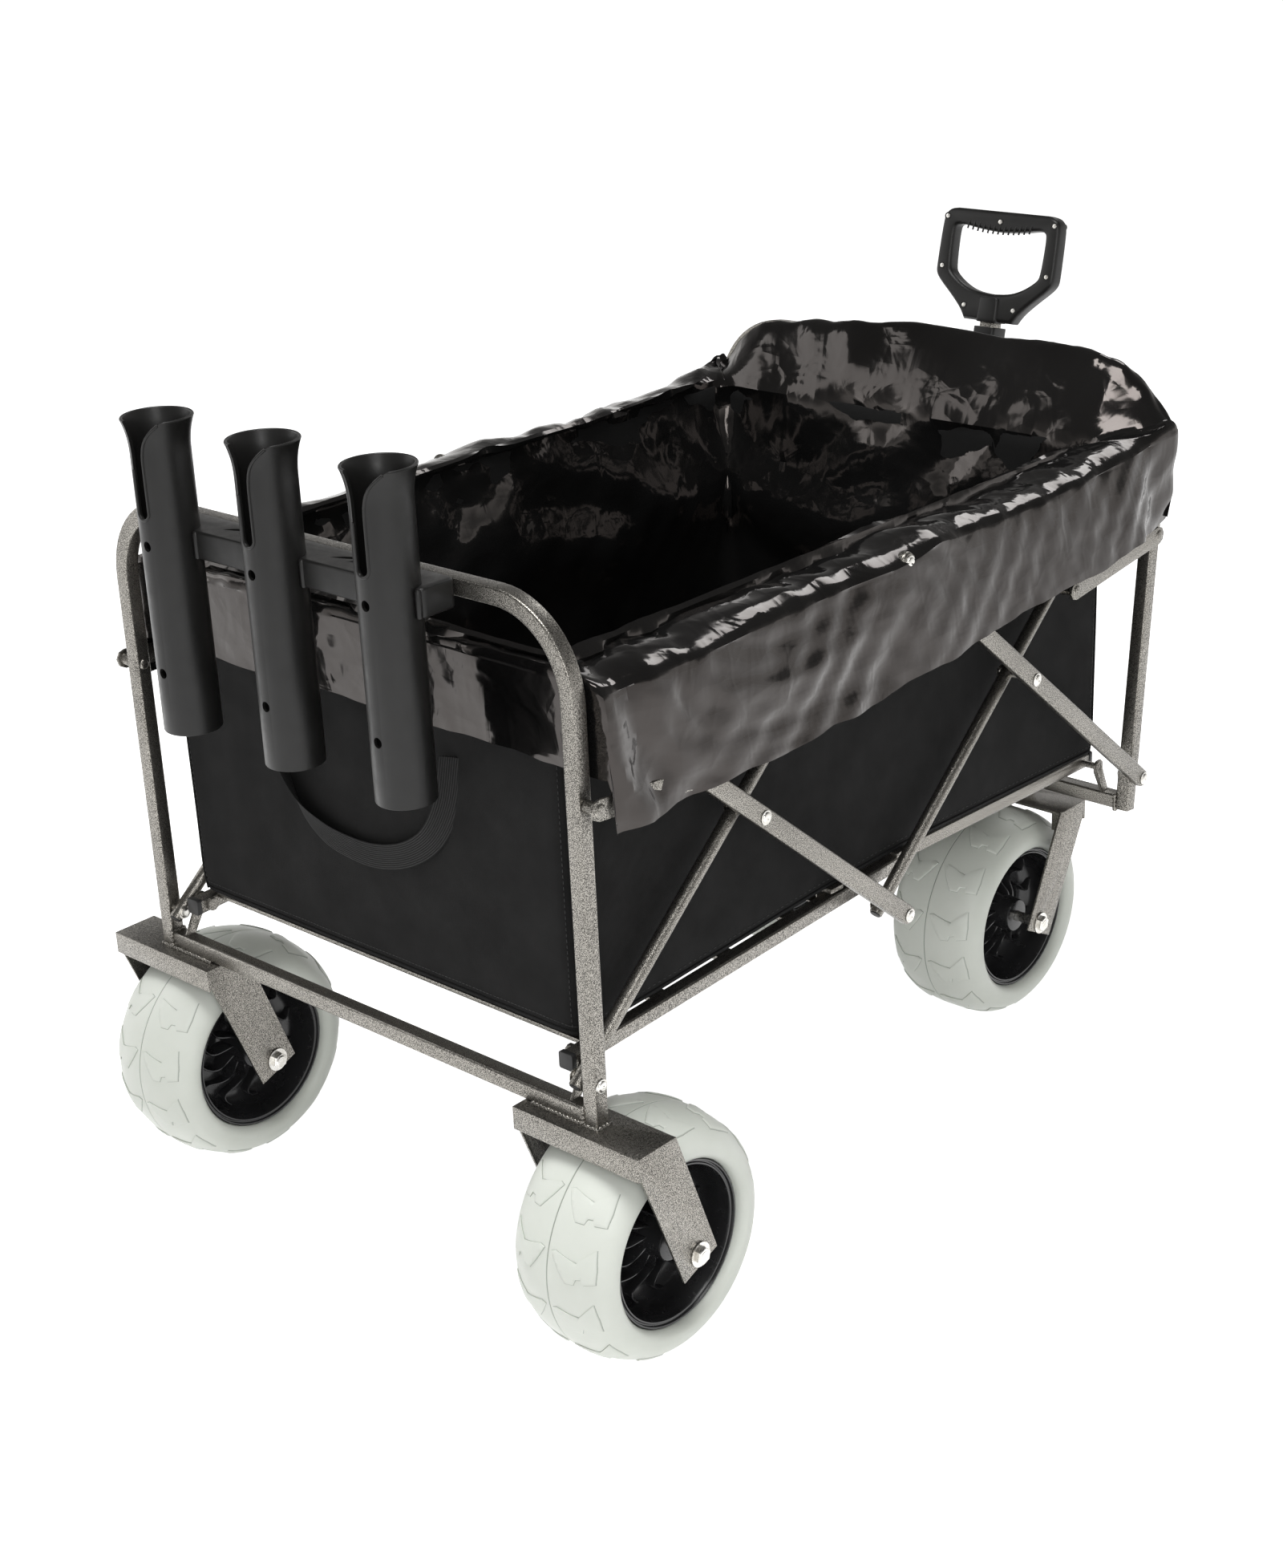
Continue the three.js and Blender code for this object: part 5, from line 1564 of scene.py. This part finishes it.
def build_strap():
    """The webbing loop that hangs on the rear panel."""
    node = "carry_strap"
    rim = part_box("cloth_tub")[1].z
    y = middle(node).y
    line = curve_through([Vector((x * MM, y, rim - drop * MM)) for x, drop, _ in STRAP_PLACES_MM], 8)
    turns = curve_through([Vector((turn, 0, 0)) for _, _, turn in STRAP_PLACES_MM], 8)
    thick = 0.9 * MM
    columns = 12
    places, flats, faces = [], [], []
    run = 0
    for i, point in enumerate(line):
        before, after = line[max(0, i - 1)], line[min(len(line) - 1, i + 1)]
        along = (after - before).normalized()
        twist = Matrix.Rotation(math.radians(turns[i].x), 3, along)
        across, face = twist @ along.cross(Vector((0, 1, 0))), twist @ Vector((0, 1, 0))
        if i:
            run += (point - line[i - 1]).length
        lift = -2.2 * MM * math.sin(math.pi * i / (len(line) - 1))
        for way in (1, -1):
            for k in range(columns + 1):
                share = (k / columns - 0.5) * way
                edge = 1 - (2 * abs(share)) ** 6 * 0.8
                cup = 1.2 * MM * (2 * share) ** 2
                rise = way * thick * edge - cup
                places.append(point + across * share * STRAP_WIDTH + face * rise + Vector((0, lift, 0)))
                flats.append((run, share * STRAP_WIDTH))
    ring = 2 * (columns + 1)
    for i in range(len(line) - 1):
        for k in range(ring):
            a, b = i * ring + k, i * ring + (k + 1) % ring
            faces.append([a, b, b + ring, a + ring])
    faces.append(list(range(ring)))
    faces.append(list(reversed(range(len(places) - ring, len(places)))))
    web = cloth_piece(node + "_web", "webbing", places, flats, faces, 50)
    soft_ride(stand_for(web, node, "black_cloth"))


def soft_ride(made):
    """Gives the tub, its liner or strap a mesh of its own."""
    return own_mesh(made)


# Liner film

FILM_GAP = 1 * MM
FILM_FLOOR = CLOTH + FILM_GAP
SIDE_RIDGE_RISE_MM = ((0, 4), (0.35, 5), (0.47, 9), (0.52, 15), (0.57, 9), (0.7, 6), (0.9, 15), (1, 23))
RIDGE_OUT = 27 * MM  # of the film's ridge outside the tub, along the sides
BAR_CLEAR = 18.5 * MM  # of the film outside the legs, where it runs over a bar
LINK_CLEAR = 8 * MM  # of the film outside the rear link
HANG_SLOPE = 0.14  # of the film, away from what it hangs over
SKIRT_OUT_MM = ((0.1, 25), (0.5, 36), (1, 40))  # share of the way down, and outside the ridge


def along_list(places, share):
    for (a, u), (b, v) in zip(places, places[1:]):
        if share <= b:
            return mix(u, v, (share - a) / (b - a))
    return places[-1][1]


def fold(value):
    """A triangle wave between -1 and 1: its corners make sharp creases."""
    return 4 * abs(value - math.floor(value + 0.5)) - 1


FOLDS = (
    (3.1, 4.4, 6.2, 1.0), (-5.2, 7.9, 6.1, 0.75), (11.5, -8.2, 10.4, 0.5), (9.3, 17.1, -13.0, 0.34),
    (-21.0, 14.2, 24.5, 0.22), (26.0, 31.0, 17.0, 0.13),
)  # folds per metre along each axis, and the height of each train of folds


def crumple(spot, seed):
    """Crossing creases in several directions, bent by noise; about -1 to 1."""
    total = 0
    warp = noise.noise(spot * 3.6 + Vector((0, 0, seed))) * 1.5
    for k, (x, y, z, size) in enumerate(FOLDS):
        mask = 0.55 + 1.1 * noise.noise(spot * (3.4 + 1.1 * k) + Vector((k * 7.3, seed, 0)))
        phase = x * spot.x + y * spot.y + z * spot.z + warp * (1 + 0.3 * k) + k * 0.37
        total += size * max(0, mask) * fold(phase)
    return 0.8 * total


class Film:
    """The liner's surface: a place for each share round the tub and each run down the film."""

    def __init__(self):
        self.low, self.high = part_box("cloth_tub")
        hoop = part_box("rear_u_frame")
        self.front_low, self.front_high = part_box("front_u_frame")
        size = extent("front_u_frame")
        self.lean = (size.y - TUBE) / size.z
        self.rim = self.high.z
        self.leg_out = hoop[1].x
        self.rear = (hoop[1].y + self.low.y) / 2 - 0.7 * MM
        self.rim_out = self.high.x + RIDGE_OUT
        self.side_hem = self.rim - 138 * MM
        self.front_hem = self.rim - 84 * MM
        self.rear_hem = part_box("rear_link_right")[1].z + 4 * MM
        self.inset = FILM_FLOOR + 2.4 * MM
        self.bars = []
        for bar in ("b", "d"):
            start, end, _ = bar_line(bar, "right")
            self.bars.append((Vector((start.y, start.z)), Vector((end.y, end.z)), self.leg_out + BAR_CLEAR))
        low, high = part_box("rear_link_right")
        self.bars.append((Vector((low.y, low.z)), Vector((high.y, high.z)), high.x + LINK_CLEAR))

    def front_at(self, z):
        """The front hoop's front face at a height."""
        return self.front_low.y + TUBE + (z - self.front_low.z) * self.lean

    def hoop_top(self, x):
        """The top of the front hoop's outline at a place across."""
        bend = BEND + TUBE / 2
        away = max(0, abs(x) - (self.leg_out - bend))
        fall = bend - math.sqrt(max(0, bend * bend - min(away, 0.93 * bend) ** 2))
        return self.front_high.z - fall

    def ridge_at(self, side, part, x):
        if side == 0:
            return self.rim + 4 * MM
        if side == 2:
            rise = 9 + 11 * math.sin(math.pi * min(1, part * 1.15)) - 8 * smooth((part - 0.55) / 0.3)
            return self.hoop_top(x) + rise * MM
        towards = part if side == 1 else 1 - part
        return self.rim + along_list(SIDE_RIDGE_RISE_MM, towards) * MM

    def hem_at(self, side, part, share):
        wave = noise.noise(Vector((share * 3.3, 0, 9))) * 12 * MM
        wave += noise.noise(Vector((share * 14, 0, 3))) * 5 * MM
        if side == 0:
            corner = smooth(min(part, 1 - part) / 0.012)
            return mix(self.side_hem, self.rear_hem + 8 * MM, corner) + abs(wave) * 0.5 * corner
        if side == 2:
            return self.front_hem + wave
        towards = part if side == 1 else 1 - part
        return mix(self.side_hem, self.front_hem, towards ** 1.6) + wave * smooth(towards / 0.1)

    def outside(self, p):
        """Moves a place of the skirt out over the bars that it hangs on."""
        spot = Vector((p.y, p.z))
        for start, end, reach in self.bars:
            along = end - start
            share = min(1, max(0, (spot - start).dot(along) / along.length_squared))
            away = (spot - start - along * share).length
            least = reach - HANG_SLOPE * max(0, away - 17 * MM)
            if abs(p.x) < least:
                p.x = math.copysign(least, p.x)
        return p

    def ahead(self, y):
        """0 beside the tub, and 1 where the film passes outside the front legs."""
        return smooth((y - self.high.y + 30 * MM) / (58 * MM))

    def stations(self, share):
        """The places that the film runs through at a share, from the floor to the hem."""
        side = int(share) % 4
        part = share - int(share)
        inset = self.inset
        in_x = self.high.x - inset
        in_rear, in_front = self.low.y + inset, self.high.y - inset

        def at(half_x, y0, y1, z, radius=22 * MM):
            point, _ = round_box_at(share, half_x, y0, y1, radius)
            return Vector((point.x, point.y, z))

        floor = tub_floor(at(in_x, in_rear, in_front, 0).y) + inset
        wide = self.leg_out + 4 * MM
        across = at(self.rim_out, self.rear, in_front, 0, 20 * MM).x * wide / self.rim_out
        ridge, hem = self.ridge_at(side, part, across), self.hem_at(side, part, share)
        top = self.front_at(ridge)
        crest = at(self.rim_out, self.rear + 4 * MM, top - TUBE * 0.3, ridge, 5 * MM)
        crest.x *= mix(1, max(1, wide / self.rim_out), self.ahead(crest.y))
        behind = Vector((crest.x * 0.985, min(crest.y, top - TUBE - 8 * MM), ridge - 3 * MM))
        rise = at(in_x, in_rear, in_front, mix(self.rim, ridge, 0.7) + 1.5 * MM)
        rise = rise.lerp(behind, smooth((crest.y - self.high.y + 10 * MM) / (50 * MM)))
        below = []
        for fall, out in SKIRT_OUT_MM:
            z = mix(ridge, hem, fall)
            front = self.front_at(mix(z, ridge, 0.75)) + 3.5 * MM
            reach = self.rim_out + out * MM
            p = at(reach, self.rear, front, z, 6 * MM)
            p.x *= mix(1, (wide + 2 * MM + out * 0.2 * MM) / reach, self.ahead(p.y))
            below.append(self.outside(p) if side % 2 else p)
        levels = (floor, mix(floor, self.rim, 0.33), mix(floor, self.rim, 0.66), self.rim + 2 * MM)
        return [*(at(in_x, in_rear, in_front, z) for z in levels), rise, crest, *below]


WALL_STEPS, LIP_STEPS, SKIRT_STEPS = 9, 5, 14
TIGHT = 0.35  # share of the run between its neighbours that gives a station's slope


def film_grid(rings):
    """The film's smooth places, ring by ring."""
    shape = Film()
    grid = []
    for i in range(rings):
        share = 4 * i / rings
        stops = shape.stations(share)
        line = []
        for k in range(len(stops) - 1):
            a, b, c = stops[max(0, k - 1)], stops[k], stops[k + 1]
            d = stops[min(len(stops) - 1, k + 2)]
            straight = k < 3
            steps = WALL_STEPS if straight else LIP_STEPS if k < 6 else SKIRT_STEPS
            m0, m1 = (c - a) * TIGHT, (d - b) * TIGHT
            for n in range(steps):
                t = n / steps
                if straight:
                    line.append(b.lerp(c, t))
                else:
                    line.append(
                        b * (2 * t ** 3 - 3 * t ** 2 + 1) + m0 * (t ** 3 - 2 * t ** 2 + t)
                        + c * (3 * t ** 2 - 2 * t ** 3) + m1 * (t ** 3 - t ** 2)
                    )
        line.append(stops[-1])
        wall = 3 * WALL_STEPS
        _, normal = round_box_at(share, shape.high.x, shape.low.y, shape.high.y, CORNER)
        for j in range(wall + 1):
            line[j] = line[j] + normal.to_3d() * (tub_billow(share, j / wall) - film_sag(line[j], j / wall))
        grid.append(line)
    return grid


def film_sag(spot, rise):
    """How far the film leans in from the wall: it hangs slack below the rim, then falls back."""
    slack = 17 + 12 * noise.noise(Vector((spot.x * 4, spot.y * 4, 8)))
    turn = 0.6 + 0.1 * noise.noise(Vector((spot.x * 6, spot.y * 6, 1)))
    loose = 6 * smooth(rise / 0.12)
    if rise > turn:
        return max(slack, loose) * smooth((1 - rise) / (1 - turn)) * MM
    return mix(loose, max(slack, loose), smooth((rise - turn + 0.22) / 0.22)) * MM


def film_normal(grid, i, j):
    count, last = len(grid), len(grid[0]) - 1
    across = grid[(i + 1) % count][j] - grid[i - 1][j]
    down = grid[i][min(last, j + 1)] - grid[i][max(0, j - 1)]
    return across.cross(down).normalized()


def film_lift(j, spot, side):
    """How far the film stands off its smooth place, on a rear, right, front or left side."""
    wall = 3 * WALL_STEPS
    crease = crumple(spot, 3.0 if j < wall else 11.0)
    if j <= wall:
        top = smooth(j / wall)
        return smooth(j / 4) * max(-1.5, 3 + (2 + 5 * top) * crease) * MM
    lip = wall + 3 * LIP_STEPS
    if j <= lip:
        return (3 + 4 * crease * smooth((j - wall) / LIP_STEPS)) * MM
    if side == 0:
        return max(-0.6, min(1.2, 0.6 + 1.1 * crease)) * MM
    broad = noise.noise(spot * 7 + Vector((5, 0, 0))) * 7 * smooth((j - lip) / SKIRT_STEPS)
    return max(-1.5, 3 + 5.5 * crease + broad) * MM


def build_liner(rings):
    """The film, from its floor up the walls, over the rim and down outside to a ragged hem."""
    node = "film_liner"
    grid = film_grid(rings)
    rows = len(grid[0])
    places = []
    for i in range(rings):
        share = 4 * i / rings
        for j in range(rows):
            lift = film_lift(j, grid[i][j], int(share))
            places.append(grid[i][j] + film_normal(grid, i, j) * lift)
    faces = []
    for i in range(rings):
        a, b = i * rows, (i + 1) % rings * rows
        faces += [[a + j, b + j, b + j + 1, a + j + 1] for j in range(rows - 1)]
    inner = [i * rows for i in range(rings)]
    centre = middle("cloth_tub")
    floor_rows = 9
    for step in range(1, floor_rows + 1):
        scale = 1 - step / (floor_rows + 1)
        ring = []
        for i in range(rings):
            edge = places[i * rows]
            x, y = edge.x * scale, mix(centre.y, edge.y, scale)
            lift = FILM_FLOOR + 2.5 * MM * (1 + crumple(Vector((x, y, 0)), 6.0))
            ring.append(len(places))
            places.append(Vector((x, y, tub_floor(y) + lift)))
        for i in range(rings):
            k = (i + 1) % rings
            faces.append([inner[i], ring[i], ring[k], inner[k]])
        inner = ring
    faces += [[inner[i], len(places), inner[(i + 1) % rings]] for i in range(rings)]
    places.append(Vector((0, centre.y, tub_floor(centre.y) + FILM_FLOOR + 2 * MM)))
    mesh = bpy.data.meshes.new(node + "_sheet")
    mesh.from_pydata(places, [], faces)
    mesh.materials.append(finish("film"))
    made = placed(node + "_sheet", mesh, 30)
    upward = sum(f.normal.z for f in mesh.polygons if f.center.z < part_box("cloth_tub")[0].z + 30 * MM)
    if upward < 0:
        mesh.flip_normals()
    thick = made.modifiers.new("thickness", "SOLIDIFY")
    thick.thickness = 0.25 * MM
    thick.offset = -1
    settled(made, 30)
    soft_ride(stand_for(made, node, "black_film"))


# Stage

CAMERA_FOCUS_PX = 3056.63
IMAGE_PX = (1600, 1955)
CAMERA_PLACE = Vector((1.665568, -1.885571, 1.402065))
CAMERA_FORWARD = Vector((-0.62878743, 0.67541362, -0.38528278))
CAMERA_RIGHT = Vector((0.74314186, 0.66780614, -0.04213243))
SENSOR_MM = 36
FLOOR_GLOW = 0.94
SKY_STOPS = ((0.0, 1.0), (0.1, 0.95), (0.26, 0.3), (0.5, 0.12), (0.95, 0.09))  # height, and grey


def build_camera():
    data = bpy.data.cameras.new("camera")
    data.sensor_width = SENSOR_MM
    data.sensor_fit = "AUTO"
    data.lens = CAMERA_FOCUS_PX * SENSOR_MM / max(IMAGE_PX)
    data.clip_start, data.clip_end = 0.05, 200
    made = in_scene("camera", data)
    up = CAMERA_RIGHT.cross(CAMERA_FORWARD)
    turn = Matrix((CAMERA_RIGHT, up, -CAMERA_FORWARD)).transposed()
    made.matrix_world = Matrix.Translation(CAMERA_PLACE) @ turn.to_4x4()
    bpy.context.scene.camera = made


def build_floor(half):
    mesh = bpy.data.meshes.new("floor")
    corners = ((-half, -half, 0), (half, -half, 0), (half, half, 0), (-half, half, 0))
    mesh.from_pydata(corners, [], [[0, 1, 2, 3]])
    make = Shader("floor_white", Roughness=0.9)
    make.surface.inputs["Base Color"].default_value = (0.9, 0.9, 0.9, 1)
    path = make.add("ShaderNodeLightPath").outputs
    mirrored = make.math("MAXIMUM", path["Is Glossy Ray"], path["Is Transmission Ray"])
    seen = make.math("MAXIMUM", path["Is Camera Ray"], mirrored)
    glow = make.add("ShaderNodeEmission", {"Strength": make.math("MULTIPLY", seen, FLOOR_GLOW)})
    both = make.add("ShaderNodeAddShader", {0: make.surface.outputs[0], 1: glow.outputs[0]})
    make.links.new(both.outputs[0], make.tree.nodes["Material Output"].inputs["Surface"])
    mesh.materials.append(make.material)
    in_scene("floor", mesh)


def build_world():
    """Bright at the horizon, as the floor is, and dark overhead."""
    world = bpy.data.worlds.new("studio")
    world.use_nodes = True
    tree = world.node_tree
    tree.nodes.clear()
    place = new_node(tree, "ShaderNodeTexCoord")
    parts = new_node(tree, "ShaderNodeSeparateXYZ", {0: place.outputs["Generated"]})
    band = new_node(tree, "ShaderNodeValToRGB", {"Fac": parts.outputs["Z"]})
    set_stops(band, [(height, (grey, grey * 0.985, grey * 0.965)) for height, grey in SKY_STOPS])
    lit = new_node(tree, "ShaderNodeBackground", {"Color": band.outputs["Color"]})
    new_node(tree, "ShaderNodeOutputWorld", {"Surface": lit.outputs[0]})
    bpy.context.scene.world = world


def build_lights(key, fill):
    """A soft key overhead, with weaker lamps from the camera's side, the left and the back."""
    target = Vector((0, 0, 0.4))
    for name, place, size, power in (
        ("key", (0.5, -0.9, 3.4), 1.6, key),
        ("front", (2.6, -2.4, 1.9), 1.4, fill),
        ("side", (-3.2, -1.6, 2.2), 2.4, fill),
        ("back", (-0.4, 3.2, 3.4), 1.2, fill * 0.7),
    ):
        data = bpy.data.lights.new(name, "AREA")
        data.shape = "SQUARE"
        data.size = size
        data.energy = power
        made = in_scene(name, data)
        made.location = place
        made.rotation_euler = (target - Vector(place)).to_track_quat("-Z", "Y").to_euler()


# Settings


class TrolleyWheelSettings(bpy.types.PropertyGroup):
    lug_count: bpy.props.IntProperty(
        name="Lugs per row", description="Raised blocks round each half of the tread",
        default=13, min=4, max=40,
    )
    rib_count: bpy.props.IntProperty(
        name="Ribs", description="Curved ribs in each hub", default=12, min=3, max=40
    )


class TrolleyHolderSettings(bpy.types.PropertyGroup):
    mouth_radius: bpy.props.FloatProperty(
        name="Mouth radius", description="Outer radius of a rod holder's flared mouth",
        default=34 * MM, min=29 * MM, max=42 * MM, unit="LENGTH", subtype="DISTANCE",
    )


class TrolleyLinerSettings(bpy.types.PropertyGroup):
    rings: bpy.props.IntProperty(
        name="Rings", description="Columns of faces round the liner film", default=520, min=80, max=800
    )


class TrolleyStageSettings(bpy.types.PropertyGroup):
    floor_half: bpy.props.FloatProperty(
        name="Floor half width", description="Half the side of the square floor",
        default=60.0, min=5.0, max=200.0, unit="LENGTH", subtype="DISTANCE",
    )
    key_power: bpy.props.FloatProperty(
        name="Key light", description="Power of the soft key light", default=75.0, min=0.0, unit="POWER"
    )
    fill_power: bpy.props.FloatProperty(
        name="Fill light", description="Power of the fill light", default=30.0, min=0.0, unit="POWER"
    )


SETTINGS = {
    "trolley_wheels": TrolleyWheelSettings,
    "trolley_holders": TrolleyHolderSettings,
    "trolley_liner": TrolleyLinerSettings,
    "trolley_stage": TrolleyStageSettings,
}


# Operators


class TROLLEY_OT_hoops(bpy.types.Operator):
    """Build the two end hoops and their welds"""

    bl_idname = "trolley.hoops"
    bl_label = "Build Hoops"

    def execute(self, context):
        for node in ("rear_u_frame", "front_u_frame"):
            build_hoop(node)
        build_welds()
        return {"FINISHED"}


class TROLLEY_OT_bars(bpy.types.Operator):
    """Build the scissor bars of both sides"""

    bl_idname = "trolley.bars"
    bl_label = "Build Scissor Bars"

    def execute(self, context):
        for side in SIDES:
            for bar in BAR_ENDS:
                (build_round_bar if bar in ROUND_BARS else build_flat_bar)(bar, side)
        return {"FINISHED"}


class TROLLEY_OT_steel(bpy.types.Operator):
    """Round the edges of cross bars, forks, links, the base and the handle's tubes"""

    bl_idname = "trolley.steel"
    bl_label = "Build Pressed Steel"

    def execute(self, context):
        for node in STEEL_NODES:
            build_steel(node)
        for node in ZINC_NODES:
            build_zinc(node)
        build_rail_caps()
        return {"FINISHED"}


class TROLLEY_OT_fasteners(bpy.types.Operator):
    """Build the rivets, nuts and axle bolts"""

    bl_idname = "trolley.fasteners"
    bl_label = "Build Fasteners"

    def execute(self, context):
        build_pins()
        for name in WHEELS:
            build_axle_bolt(name)
        return {"FINISHED"}


class TROLLEY_OT_wheels(bpy.types.Operator):
    """Build the four wheels: treaded tyres and ribbed hubs"""

    bl_idname = "trolley.wheels"
    bl_label = "Build Wheels"

    def execute(self, context):
        settings = context.scene.trolley_wheels
        for name in WHEELS:
            build_tyre(name, settings.lug_count)
            build_hub(name, settings.rib_count)
        return {"FINISHED"}


class TROLLEY_OT_holders(bpy.types.Operator):
    """Build the three rod holders and their bracket"""

    bl_idname = "trolley.holders"
    bl_label = "Build Rod Holders"

    def execute(self, context):
        for name in HOLDERS:
            build_holder(name, context.scene.trolley_holders.mouth_radius)
        build_bracket()
        return {"FINISHED"}


class TROLLEY_OT_handle(bpy.types.Operator):
    """Build the pull handle's grip, screws and collar"""

    bl_idname = "trolley.handle"
    bl_label = "Build Pull Handle"

    def execute(self, context):
        build_grip()
        build_collar()
        return {"FINISHED"}


class TROLLEY_OT_tub(bpy.types.Operator):
    """Build the cloth tub, its seams and its webbing loop"""

    bl_idname = "trolley.tub"
    bl_label = "Build Cloth Tub"

    def execute(self, context):
        build_tub()
        build_strap()
        return {"FINISHED"}


class TROLLEY_OT_liner(bpy.types.Operator):
    """Build the crumpled liner film"""

    bl_idname = "trolley.liner"
    bl_label = "Build Liner"

    def execute(self, context):
        build_liner(context.scene.trolley_liner.rings)
        return {"FINISHED"}


class TROLLEY_OT_stage(bpy.types.Operator):
    """Set the camera, the floor, the world and the lights"""

    bl_idname = "trolley.stage"
    bl_label = "Build Stage"

    def execute(self, context):
        settings = context.scene.trolley_stage
        context.scene.view_settings.view_transform = "Standard"
        build_camera()
        build_floor(settings.floor_half)
        build_world()
        build_lights(settings.key_power, settings.fill_power)
        return {"FINISHED"}


OPERATORS = (
    TROLLEY_OT_stage, TROLLEY_OT_hoops, TROLLEY_OT_bars, TROLLEY_OT_steel, TROLLEY_OT_fasteners,
    TROLLEY_OT_wheels, TROLLEY_OT_holders, TROLLEY_OT_handle, TROLLEY_OT_tub, TROLLEY_OT_liner,
)


class TROLLEY_PT_panel(bpy.types.Panel):
    """The trolley's settings and build steps"""

    bl_idname = "TROLLEY_PT_panel"
    bl_label = "Fishing Trolley"
    bl_space_type = "VIEW_3D"
    bl_region_type = "UI"
    bl_category = "Trolley"

    def draw(self, context):
        for name, group in SETTINGS.items():
            box = self.layout.box()
            for key in group.__annotations__:
                box.prop(getattr(context.scene, name), key)
        for operator in OPERATORS:
            self.layout.operator(operator.bl_idname)


CLASSES = (*SETTINGS.values(), *OPERATORS, TROLLEY_PT_panel)


def register():
    for item in CLASSES:
        bpy.utils.register_class(item)
    for name, group in SETTINGS.items():
        setattr(bpy.types.Scene, name, bpy.props.PointerProperty(type=group))


def unregister():
    for name in SETTINGS:
        delattr(bpy.types.Scene, name)
    for item in reversed(CLASSES):
        bpy.utils.unregister_class(item)


def main():
    register()
    for operator in OPERATORS:
        group, name = operator.bl_idname.split(".")
        getattr(getattr(bpy.ops, group), name)()


if __name__ == "__main__":
    main()
